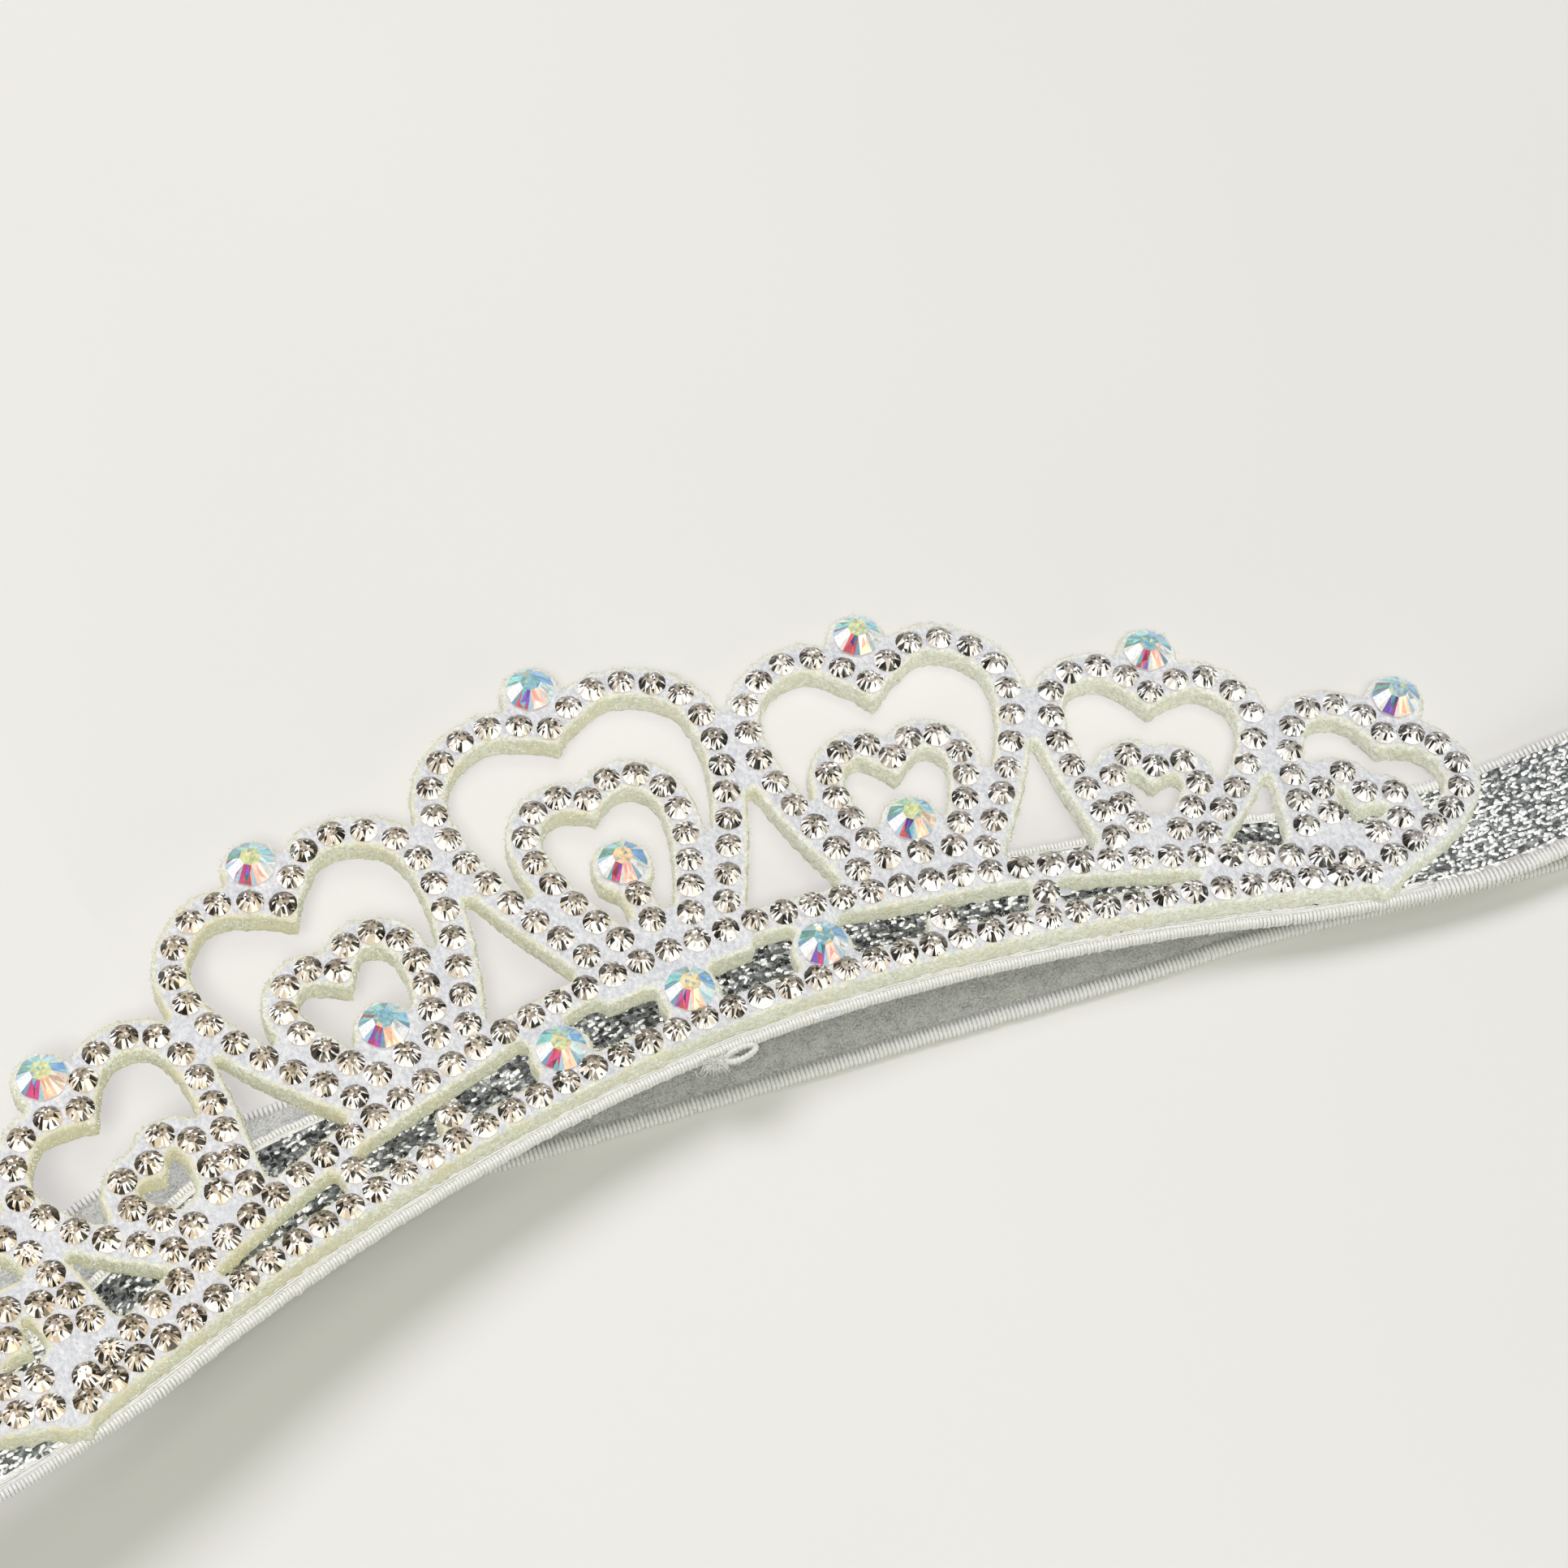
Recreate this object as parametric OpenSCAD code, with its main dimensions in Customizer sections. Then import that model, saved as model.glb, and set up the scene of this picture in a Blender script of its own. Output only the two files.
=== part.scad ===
// Mini crown headband: a pierced felt crown of seven hearts, set with cut stones,
// glued to the front of a flat elastic loop and laid down on its back.
// X runs along the crown, Y from its rails to its heart tips, Z up from the surface.

/* [Felt crown] */
// Thickness of the felt
felt_t = 2.8; // [1.5:0.1:3]
// Width of felt beside the stones, on the outside of a heart
outer_rim = 1.95; // [1.5:0.05:2.4]
// Width of felt beside the stones, on the inside of a heart and along the rails
inner_rim = 1.55; // [1.2:0.05:1.8]
// Width of felt round a large stone
disc_rim = 0.65; // [0.4:0.05:1]
// Height of the centre heart, from its foot to the top of its lobes
heart_h = 33; // [28:0.5:36]
// Half width of the centre heart, to the row of stones
heart_w = 14.1; // [13:0.1:15]

/* [Rails] */
// Distance from the middle of the crown to the end of a rail
rail_span = 68; // [64:0.5:72]
// Height of the upper rail over the base line of the crown, in the middle
upper_y = 4.1; // [3.5:0.1:5]
// Distance between the two rails, in the middle
rail_gap = 8.05; // [7.8:0.05:9]
// Drop of the upper rail from the middle to its end
upper_drop = 19.4; // [18:0.1:20.5]
// Drop of the lower rail from the middle to its end
lower_drop = 12.8; // [11.5:0.1:13.5]

/* [Small stones] */
// Diameter of a small stone
stone_d = 2.5; // [2.2:0.05:2.6]
// Height of a small stone
stone_h = 1.15; // [0.8:0.05:1.5]
// Spacing of the stones round a heart
heart_pitch = 3.12; // [2.9:0.02:3.4]
// Spacing of the stones along the upper rail
rail_pitch = 2.97; // [2.85:0.01:3.4]
// Least clear space between two stones
stone_clear = 0.1; // [0.1:0.01:0.3]
// Glue line under a stone and under the felt
glue_t = 0.08; // [0.05:0.01:0.2]

/* [Large stones] */
// Diameter of a large stone
gem_d = 4.8; // [4.2:0.1:5.2]
// Height of a large stone
gem_h = 1.95; // [1.4:0.05:2.4]
// Distance of a top stone from the stone in the cleft below it
gem_rise = 4.8; // [4.5:0.1:5.5]
// Distance of the outer rail stones from the middle of the crown
gem_side = 13.7; // [12.5:0.1:15]

/* [Elastic loop] */
// Width of the elastic
band_w = 12.5; // [10:0.5:14]
// Thickness of the elastic
band_t = 1; // [0.8:0.1:1.2]
// Width of elastic that shows below the felt
band_peek = 1; // [0.6:0.1:2]
// Distance from the middle of the crown to the start of each bend
loop_span = 105; // [103:1:115]
// Height of the loop at its right bend
bend_low = 4.4; // [3.4:0.1:6]
// Height of the loop at its left bend, where it stands open
bend_high = 15.4; // [13:0.2:17]

/* [Lie of the crown] */
// Angle by which the crown rises towards its left end
rise_left = 4; // [3:0.5:5]
// Angle by which the crown falls towards its heart tips
fall_tips = 7.5; // [6:0.5:8]
// Height of the base point of the crown over the surface
crown_z = 6.95; // [6.9:0.05:9]

/* [Hidden] */

// Half outline of a heart, from its cleft to its foot: share of the half width and
// share of the height. The first two heights are shares of the depth of the cleft.
ASIDE = 0;
UP = 1;
half_heart = [
    [0, 0], [0.12, 0.3], [0.45, 0.97], [0.79, 0.92],
    [1, 0.8], [0.99, 0.6], [0.79, 0.36], [0.5, 0.12], [0.44, 0.03]
];

// Hearts of the right half, the centre heart first.
// FOOT: share of the rail span. RISE: height of the foot over the upper rail, as a
// share of the centre heart's height. TILT: degrees. WIDE, TALL: shares of the centre
// heart. DIP: share of the height at which the cleft stone sits. NEAR, FAR: stones
// down the side that faces the middle and down the other side, each followed by its
// share of the pitch.
// IN_: the inner heart, as shares of this heart; IN_FOOT is how high it stands in it,
// IN_COUNT its stones down each side.
// TOP_GEM: rise of the top stone, as a share of gem_rise. LOW_GEM: share of the height
// at which a large stone sits in the inner heart, or 0 for none. STEM: small stones
// under that large stone. SKEW: how far the lobe that faces the middle stands higher
// than the other, as a share of the distance from the axis.
FOOT = 0;
RISE = 1;
TILT = 2;
WIDE = 3;
TALL = 4;
DIP = 5;
NEAR = 6;
NEAR_PITCH = 7;
FAR = 8;
FAR_PITCH = 9;
IN_FOOT = 10;
IN_WIDE = 11;
IN_TALL = 12;
IN_DIP = 13;
IN_COUNT = 14;
IN_PITCH = 15;
TOP_GEM = 16;
LOW_GEM = 17;
STEM = 18;
SKEW = 19;
hearts = [
    [0, -0.06, 0, 1, 1, 0.89, 13, 0.985, 13, 0.985,
        0.076, 0.53, 0.605, 0.9, 8, 0.93, 1, 0.376, 2, 0],
    [0.384, -0.024, 12.5, 0.925, 0.885, 0.83, 12, 1.003, 12, 1.003,
        0.07, 0.508, 0.541, 0.835, 7, 0.89, 1.12, 0.264, 1, 0],
    [0.717, 0.038, 25.4, 0.71, 0.642, 0.85, 10, 0.955, 9, 0.975,
        0.075, 0.42, 0.43, 0.85, 4, 0.93, 1, 0, 0, 0.09],
    [0.946, -0.009, 45.7, 0.615, 0.536, 0.89, 8, 0.92, 8, 0.882,
        0.185, 0.49, 0.375, 0.78, 3, 0.94, 0.92, 0, 0, 0.065]
];

// Small stones between the rails: share of the rail span, share of the way up
SPACER_X = 0;
SPACER_UP = 1;
spacers_at = [[0.377, 0.365], [0.53, 0.475]];

// Elastic beyond the felt, on either side, and its back stretch from right to left:
// share of the loop span, share of the elastic's width, lift over the plane of the
// crown on the right side in millimetres
ALONG = 0;
ACROSS = 1;
LIFT = 2;
front_ends = [[0.705, -1.09, 0], [0.775, -1.165, 0], [0.86, -1.19, 0.7]];
back_route = [
    [0.82, -1.18], [0.553, -0.8], [0.41, -0.66], [0.225, -0.455], [-0.02, -0.2],
    [-0.193, -0.02], [-0.39, 0.21], [-0.57, 0.07], [-0.77, -0.5]
];
// Bends. SIDE: 1 is right. START: place of the upper end across, as a share of the
// width. SLOPE: rise across for each millimetre along. DRIFT: how far the elastic
// moves across on its way down, as a share of its width.
SIDE = 0;
START = 1;
SLOPE = 2;
DRIFT = 3;
right_bend = [1, -1.3, -0.05, -0.02];
left_bend = [-1, -1.2, 0.115, 0.2];

side_steps = 3;
row_step = 0.05;
rail_steps = 18;
front_steps = 18;
bend_steps = 8;
band_steps = 2;
front_share = 0.91;
heart_fill = 0.2;
die_cut = 0.2;
gem_between = 0.41;
rail_bow = 1.85;
low_pitch = 0.987;
rail_last = 66.5;
table_share = 0.56;
foot_share = 0.95;
low_share = 0.25;
shoulder_share = 0.82;
crown_share = 0.66;
facets = 8;

lower_y = upper_y - rail_gap;
min_apart = stone_d + stone_clear;
gem_apart = (stone_d + gem_d * foot_share) / 2 + stone_clear;
disc_r = gem_d / 2 + disc_rim;

// Curves
function knot(a, b, c, d, t) = 0.5 * (2 * b + (c - a) * t
    + (2 * a - 5 * b + 4 * c - d) * t * t + (3 * b - a - 3 * c + d) * t * t * t);
function smooth(p, steps) = let (n = len(p)) [
    for (i = [0 : n - 2]) for (s = [0 : steps - 1])
        knot(i == 0 ? 2 * p[0] - p[1] : p[i - 1], p[i], p[i + 1],
            i == n - 2 ? 2 * p[n - 1] - p[n - 2] : p[i + 2], s / steps),
    p[n - 1]
];
function lengths(p, i = 0, sum = 0) = i == len(p) - 1 ? [sum]
    : concat([sum], lengths(p, i + 1, sum + norm(p[i + 1] - p[i])));
function along(p, l, s, i = 0) = i >= len(p) - 2 || s <= l[i + 1]
    ? p[i] + (p[i + 1] - p[i]) * (s - l[i]) / (l[i + 1] - l[i])
    : along(p, l, s, i + 1);
function unit(v) = v / norm(v);
function reversed(p) = [for (i = [len(p) - 1 : -1 : 0]) p[i]];
function flipped(p) = [for (q = p) [-q[0], q[1]]];
function from(p, start) = start >= len(p) ? [] : [for (i = [start : len(p) - 1]) p[i]];

// Rails
function upper_rail(x) = [x, upper_y - upper_drop * pow(abs(x) / rail_span, rail_bow)];
function lower_rail(x) = [x, lower_y - lower_drop * pow(abs(x) / rail_span, rail_bow)];
function rail_line(upper) = [
    for (i = [0 : rail_steps])
        let (x = rail_span * i / rail_steps)
            upper ? upper_rail(x) : lower_rail(x)
];
function rail_row(upper) = let (
    line = rail_line(upper),
    l = lengths(line),
    pitch = rail_pitch * (upper ? 1 : low_pitch),
    count = floor(l[len(l) - 1] / pitch)
) [
    for (i = [0 : count])
        let (q = along(line, l, i * pitch)) if (q[0] < (upper ? rail_last : rail_span)) q
];
spacers = [
    for (s = spacers_at)
        let (x = rail_span * s[SPACER_X])
            lower_rail(x) * (1 - s[SPACER_UP]) + upper_rail(x) * s[SPACER_UP]
];

// Places in a heart: aside and up in millimetres from its foot, along its own axis
function foot(h) = upper_rail(rail_span * h[FOOT]) + [0, heart_h * h[RISE]];
function placed(h, aside, up) = foot(h) + [
    aside * cos(h[TILT]) + up * sin(h[TILT]),
    up * cos(h[TILT]) - aside * sin(h[TILT])
];
function half_line(h, side, wide, tall, dip) = smooth([
    for (i = [0 : len(half_heart) - 1])
        let (
            r = half_heart[i],
            up = i < 2 ? dip + (1 - dip) * r[UP] : r[UP],
            aside = side * r[ASIDE] * wide
        ) placed(h, aside, up * tall - aside * h[SKEW])
], side_steps);
function outer_half(h, side) =
    half_line(h, side, heart_w * h[WIDE], heart_h * h[TALL], h[DIP]);
function inner_half(h, side) = let (
    lift = placed(h, 0, heart_h * h[TALL] * h[IN_FOOT]) - foot(h)
) [
    for (q = half_line(h, side, heart_w * h[WIDE] * h[IN_WIDE],
        heart_h * h[TALL] * h[IN_TALL], h[IN_DIP])) q + lift
];
function outer_loop(h) = concat(reversed(outer_half(h, 1)), from(outer_half(h, -1), 1));
function inner_loop(h) = concat(reversed(inner_half(h, 1)), from(inner_half(h, -1), 1));
// Stones along a line, each a straight pitch from the last
function next_along(line, l, p, pitch, s) = s >= l[len(l) - 1] ? s
    : norm(along(line, l, s) - p) >= pitch ? s
    : next_along(line, l, p, pitch, s + row_step);
function row(line, count, pitch, found = [], s = 0, l = []) =
    l == [] ? row(line, count, pitch, found, s, lengths(line))
    : len(found) > count || s >= l[len(l) - 1] ? found
    : let (p = along(line, l, s))
        row(line, count, pitch, concat(found, [p]),
            next_along(line, l, p, pitch, s + row_step), l);
function outer_row(h) = concat(
    row(outer_half(h, -1), h[NEAR], heart_pitch * h[NEAR_PITCH]),
    from(row(outer_half(h, 1), h[FAR], heart_pitch * h[FAR_PITCH]), 1)
);
function inner_row(h) = concat(
    row(inner_half(h, -1), h[IN_COUNT], heart_pitch * h[IN_PITCH]),
    from(row(inner_half(h, 1), h[IN_COUNT], heart_pitch * h[IN_PITCH]), 1)
);

// Large stones, each set from the left end of the crown to the right
function top_gem(h) = placed(h, 0, heart_h * h[TALL] * h[DIP] + gem_rise * h[TOP_GEM]);
function low_gem(h) = placed(h, 0, heart_h * h[TALL] * h[LOW_GEM]);
function stem_row(h) = h[STEM] == 0 ? [] : [
    for (k = [0 : h[STEM] - 1])
        placed(h, 0, heart_h * h[TALL] * h[LOW_GEM] - gem_apart - k * heart_pitch)
];
function mirrored_set(p) = concat(reversed(flipped(from(p, 1))), p);
top_gems = mirrored_set([for (h = hearts) top_gem(h)]);
low_gems = mirrored_set([for (h = hearts) if (h[LOW_GEM] > 0) low_gem(h)]);
rail_gems = mirrored_set([
    for (x = [0, gem_side]) upper_rail(x) * gem_between + lower_rail(x) * (1 - gem_between)
]);
gems = concat(top_gems, low_gems, rail_gems);

// A small stone is left out where it would touch one that is already set
function clear_of(p, set, apart, i = 0) = i >= len(set) ? true
    : norm(p - set[i]) < apart ? false : clear_of(p, set, apart, i + 1);
function set_clear(set, more, i = 0) = i >= len(more) ? set
    : set_clear(
        clear_of(more[i], set, min_apart) && clear_of(more[i], gems, gem_apart - 0.02)
            ? concat(set, [more[i]]) : set,
        more, i + 1);
function both(p) = concat(p, flipped([for (q = p) if (q[0] > min_apart / 2) q]));
// The centre heart is drawn whole, so its left half is dropped before it is mirrored
function right_of(p) = [for (q = p) if (q[0] > -min_apart / 2) q];
rail_set = both(concat(rail_row(false), rail_row(true), spacers));
outer_set = set_clear(rail_set, both([for (h = hearts) for (q = right_of(outer_row(h))) q]));
inner_set = set_clear(outer_set, both([
    for (h = hearts) for (q = right_of(concat(inner_row(h), stem_row(h)))) q
]));
outline_places = from(outer_set, len(rail_set));
inner_places = from(inner_set, len(outer_set));

// Felt, cut from one sheet
module ring(line) {
    difference() {
        offset(delta = outer_rim) polygon(line);
        offset(delta = -inner_rim) polygon(line);
    }
}

module heart_shape(h) {
    ring(outer_loop(h));
    ring(inner_loop(h));
    intersection() {
        polygon(outer_loop(h));
        translate(foot(h)) rotate(-h[TILT])
            translate([-heart_w, 0]) square([2 * heart_w, heart_h * h[TALL] * heart_fill]);
    }
    if (h[STEM] > 0) hull() {
        for (q = concat([low_gem(h)], stem_row(h))) translate(q) circle(inner_rim, $fn = 12);
    }
}

function beside(line, d) = [
    for (i = [0 : len(line) - 1])
        let (t = i == 0 ? [1, 0] : unit(line[min(i + 1, len(line) - 1)] - line[i - 1]))
            line[i] + d * [-t[1], t[0]]
];

module rail_strip(upper) {
    line = rail_line(upper);
    polygon(concat(beside(line, inner_rim), reversed(beside(line, -inner_rim))));
    translate(line[rail_steps]) circle(inner_rim, $fn = 12);
}

module half_crown() {
    rail_strip(true);
    rail_strip(false);
    for (s = spacers) translate(s) circle(inner_rim, $fn = 12);
    for (h = hearts) heart_shape(h);
}

// The die can't leave a cut finer than die_cut, so such slivers are closed
module crown_outline() {
    offset(delta = -die_cut / 2) offset(delta = die_cut / 2) {
        half_crown();
        mirror([1, 0]) half_crown();
        for (g = gems) translate(g) circle(disc_r, $fn = 16);
    }
}

// From the plane of the crown, whose zero is the underside of the felt, to the surface
module on_crown(z) {
    translate([0, 0, crown_z]) rotate([-fall_tips, rise_left, 0]) translate([0, 0, z])
        children();
}

function to_surface(p) = let (
    y = p[1] * cos(fall_tips) + p[2] * sin(fall_tips),
    z = p[2] * cos(fall_tips) - p[1] * sin(fall_tips)
) [
    p[0] * cos(rise_left) + z * sin(rise_left), y,
    z * cos(rise_left) - p[0] * sin(rise_left) + crown_z
];
crown_up = to_surface([0, 0, 1]) - to_surface([0, 0, 0]);

module felt_crown() {
    color("white") on_crown(0) linear_extrude(felt_t) crown_outline();
}

// Cut stones: rings of corners, each turned half a facet from the one below
function stone_ring(c, r, z, turn) = [
    for (k = [0 : facets - 1])
        let (a = 360 * (k + turn / 2) / facets) [c[0] + r * cos(a), c[1] + r * sin(a), z]
];
function ring_faces(levels, base) = concat(
    [[for (k = [0 : facets - 1]) base + k]],
    [
        for (j = [0 : levels - 2]) for (k = [0 : facets - 1]) for (half = [0, 1])
            let (
                a = base + j * facets, b = a + facets,
                // Ring j is turned by j half facets, so its upper neighbour leads it
                n = (k + 1) % facets
            ) half == 0 ? [a + k, b + k, a + n] : [a + n, b + k, b + n]
    ],
    [[for (k = [facets - 1 : -1 : 0]) base + (levels - 1) * facets + k]]
);

module small_stones(places) {
    points = [
        for (c = places) each concat(
            stone_ring(c, stone_d / 2, 0, 0),
            stone_ring(c, stone_d / 2 * table_share, stone_h, 1)
        )
    ];
    faces = [for (i = [0 : len(places) - 1]) each ring_faces(2, i * 2 * facets)];
    color("gainsboro") on_crown(felt_t + glue_t) polyhedron(points, faces, convexity = 4);
}

module large_stone(c) {
    points = concat(
        stone_ring(c, gem_d / 2 * foot_share, 0, 0),
        stone_ring(c, gem_d / 2, gem_h * low_share, 1),
        stone_ring(c, gem_d / 2 * shoulder_share, gem_h * crown_share, 2),
        stone_ring(c, gem_d / 2 * table_share, gem_h, 3)
    );
    color("lightcyan") on_crown(felt_t + glue_t)
        polyhedron(points, ring_faces(4, 0), convexity = 2);
}

// Elastic: stations of the loop, each with its place and the way its outside faces
PLACE = 0;
OUTSIDE = 1;
edge_x = rail_span * front_share;
band_z = -glue_t - band_t / 2;
function on_felt(x) = [
    to_surface([x, lower_rail(x)[1] + band_w / 2 - inner_rim - band_peek, band_z]), crown_up
];
function beyond(side) = [
    for (e = front_ends)
        let (x = side * loop_span * e[ALONG], y = band_w * e[ACROSS])
            [to_surface([x, y, band_z + max(0, side) * e[LIFT]]), crown_up]
];
function bend(b, height) = let (
    out = unit([b[SIDE], b[SIDE] * b[SLOPE], 0]),
    across = [-out[1] * b[SIDE], out[0] * b[SIDE], 0],
    r = (height - band_t) / 2
) [
    for (i = [0 : bend_steps])
        let (a = 180 * i / bend_steps) [
            [b[SIDE] * loop_span, band_w * b[START], height / 2] + out * r * sin(a)
                + across * band_w * b[DRIFT] * i / bend_steps + [0, 0, r * cos(a)],
            out * sin(a) + [0, 0, cos(a)]
        ]
];
right = bend(right_bend, bend_low);
left = bend(left_bend, bend_high);
front = concat(
    [left[0]], reversed(beyond(-1)),
    [for (i = [0 : front_steps]) on_felt(edge_x * (2 * i / front_steps - 1))],
    beyond(1), [right[0]]
);
back = concat(
    [right[bend_steps]],
    [for (b = back_route) [[loop_span * b[ALONG], band_w * b[ACROSS], band_t / 2], [0, 0, -1]]],
    [left[bend_steps]]
);
function middle(p) = [for (i = [1 : len(p) - 2]) p[i]];
function one(p, part, steps) = smooth([for (s = p) s[part]], steps);
band_mid = concat(
    one(front, PLACE, band_steps), middle([for (s = right) s[PLACE]]),
    one(back, PLACE, band_steps + 1), middle(reversed([for (s = left) s[PLACE]]))
);
band_out = concat(
    one(front, OUTSIDE, band_steps), middle([for (s = right) s[OUTSIDE]]),
    one(back, OUTSIDE, band_steps + 1), middle(reversed([for (s = left) s[OUTSIDE]]))
);

module elastic_loop() {
    n = len(band_mid);
    corners = [
        for (i = [0 : n - 1])
            let (
                t = unit(band_mid[(i + 1) % n] - band_mid[(i + n - 1) % n]),
                wide = unit(cross(band_out[i], t)) * band_w / 2,
                thick = unit(cross(t, wide)) * band_t / 2
            ) each [
                band_mid[i] + wide + thick, band_mid[i] - wide + thick,
                band_mid[i] - wide - thick, band_mid[i] + wide - thick
            ]
    ];
    sides = [
        for (i = [0 : n - 1]) for (k = [0 : 3])
            let (a = 4 * i, b = 4 * ((i + 1) % n), m = (k + 1) % 4)
                [a + k, b + k, b + m, a + m]
    ];
    color("silver") polyhedron(corners, sides, convexity = 6);
}

felt_crown();
elastic_loop();
small_stones(outline_places);  // outline_stones
small_stones(inner_places);  // inner_stones
large_stone(top_gems[0]);  // top_stone_1
large_stone(top_gems[1]);  // top_stone_2
large_stone(top_gems[2]);  // top_stone_3
large_stone(top_gems[3]);  // top_stone_4
large_stone(top_gems[4]);  // top_stone_5
large_stone(top_gems[5]);  // top_stone_6
large_stone(top_gems[6]);  // top_stone_7
large_stone(low_gems[0]);  // heart_stone_1
large_stone(low_gems[1]);  // heart_stone_2
large_stone(low_gems[2]);  // heart_stone_3
large_stone(rail_gems[0]);  // rail_stone_1
large_stone(rail_gems[1]);  // rail_stone_2
large_stone(rail_gems[2]);  // rail_stone_3
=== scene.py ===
import math
import random

import bpy
import numpy as np
from mathutils import Matrix, Vector, kdtree, noise


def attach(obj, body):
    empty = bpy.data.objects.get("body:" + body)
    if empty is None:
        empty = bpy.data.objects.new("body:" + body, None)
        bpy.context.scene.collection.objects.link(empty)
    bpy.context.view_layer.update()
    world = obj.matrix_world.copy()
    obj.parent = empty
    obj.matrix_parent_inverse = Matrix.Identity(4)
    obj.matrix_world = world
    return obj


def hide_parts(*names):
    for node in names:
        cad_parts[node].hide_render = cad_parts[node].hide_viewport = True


# Mini crown headband: felt crown of seven hearts with cut stones on an elastic loop.
# Lengths are millimetres here and metres in Blender. The crown has a frame of its own,
# X along it, Y to the heart tips and Z up from the felt's underside.
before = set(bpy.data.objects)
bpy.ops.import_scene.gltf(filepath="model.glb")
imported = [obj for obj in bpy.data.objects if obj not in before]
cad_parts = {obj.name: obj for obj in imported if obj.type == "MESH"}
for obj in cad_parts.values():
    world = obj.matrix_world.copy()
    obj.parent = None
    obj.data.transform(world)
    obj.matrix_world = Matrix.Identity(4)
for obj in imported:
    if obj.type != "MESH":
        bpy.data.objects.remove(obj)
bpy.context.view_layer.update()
MM = 0.001

# The felt, and how far it reaches past the stones of the lower rail
FELT_T = 2.8
INNER_RIM = 1.55
# The rails: half span, heights at the middle, falls at the ends and how they bow
RAIL_SPAN = 68.0
UPPER_Y = 4.1
LOWER_Y = UPPER_Y - 8.05
UPPER_DROP = 19.4
LOWER_DROP = 12.8
RAIL_BOW = 1.85
# Their stones: pitch, the lower rail's share of it and where the upper row stops, the
# spacers by shares of the span and of the way up, and one more stone at each side
RAIL_PITCH = 2.97
LOW_PITCH = 0.987
RAIL_LAST = 66.5
SPACERS = ((0.377, 0.365), (0.53, 0.475))
EXTRA_STONE = (47.68, 0.8)
# Stones: how high they sit, and the radius and height of both sizes
SEAT = 2.88
STONE_R = 1.36
STONE_H = 1.0
GEM_R = 2.4
GEM_H = 1.95
# The elastic, how far it shows below the felt, its glue, and the loop that it lies in
BAND_W = 12.5
BAND_T = 1.0
BAND_PEEK = 1.0
GLUE_T = 0.08
LOOP_SPAN = 105.0
# How the crown lies: left end up, heart tips down, its middle above the floor
RISE_LEFT = math.radians(4)
FALL_TIPS = math.radians(7.5)
CROWN_Z = 6.95
# The viewer's side of a stone, as an angle in the crown's frame; facets on it are painted
# brighter as painted reflection
TOWARDS_VIEW = math.atan2(-0.91, -0.41)


def to_surface(p):
    """Crown frame to the surface's frame, in millimetres."""
    p = np.asarray(p, float)
    cf, sf = math.cos(FALL_TIPS), math.sin(FALL_TIPS)
    cr, sr = math.cos(RISE_LEFT), math.sin(RISE_LEFT)
    y = p[..., 1] * cf + p[..., 2] * sf
    z = p[..., 2] * cf - p[..., 1] * sf
    return np.stack([p[..., 0] * cr + z * sr, y, z * cr - p[..., 0] * sr + CROWN_Z], axis=-1)


CROWN_TURN = to_surface(np.eye(3)) - to_surface(np.zeros(3))
CROWN_UP = CROWN_TURN[2]


def to_crown(p):
    """Back from the surface's frame to the crown's."""
    return (np.asarray(p, float) - [0, 0, CROWN_Z]) @ CROWN_TURN.T


def unit(v):
    """The rows of v at length 1."""
    return v / np.linalg.norm(v, axis=1)[:, None]


def distances(line):
    """How far along a line each of its points is."""
    return np.concatenate([[0], np.cumsum(np.linalg.norm(np.diff(line, axis=0), axis=1))])


# Materials

# Share kept of a colour as read, since the lamps make white paper as bright as the
# picture can show
LIT = 0.8
BLACK = (0.0, 0.0, 0.0, 1.0)


def srgb(r, g, b, dim=LIT):
    """A colour as read off, 0 to 255, as the linear values that a shader takes."""
    return tuple(
        dim * (c / 12.92 if c <= 0.04045 else ((c + 0.055) / 1.055) ** 2.4)
        for c in (r / 255, g / 255, b / 255)
    ) + (1.0,)


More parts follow.
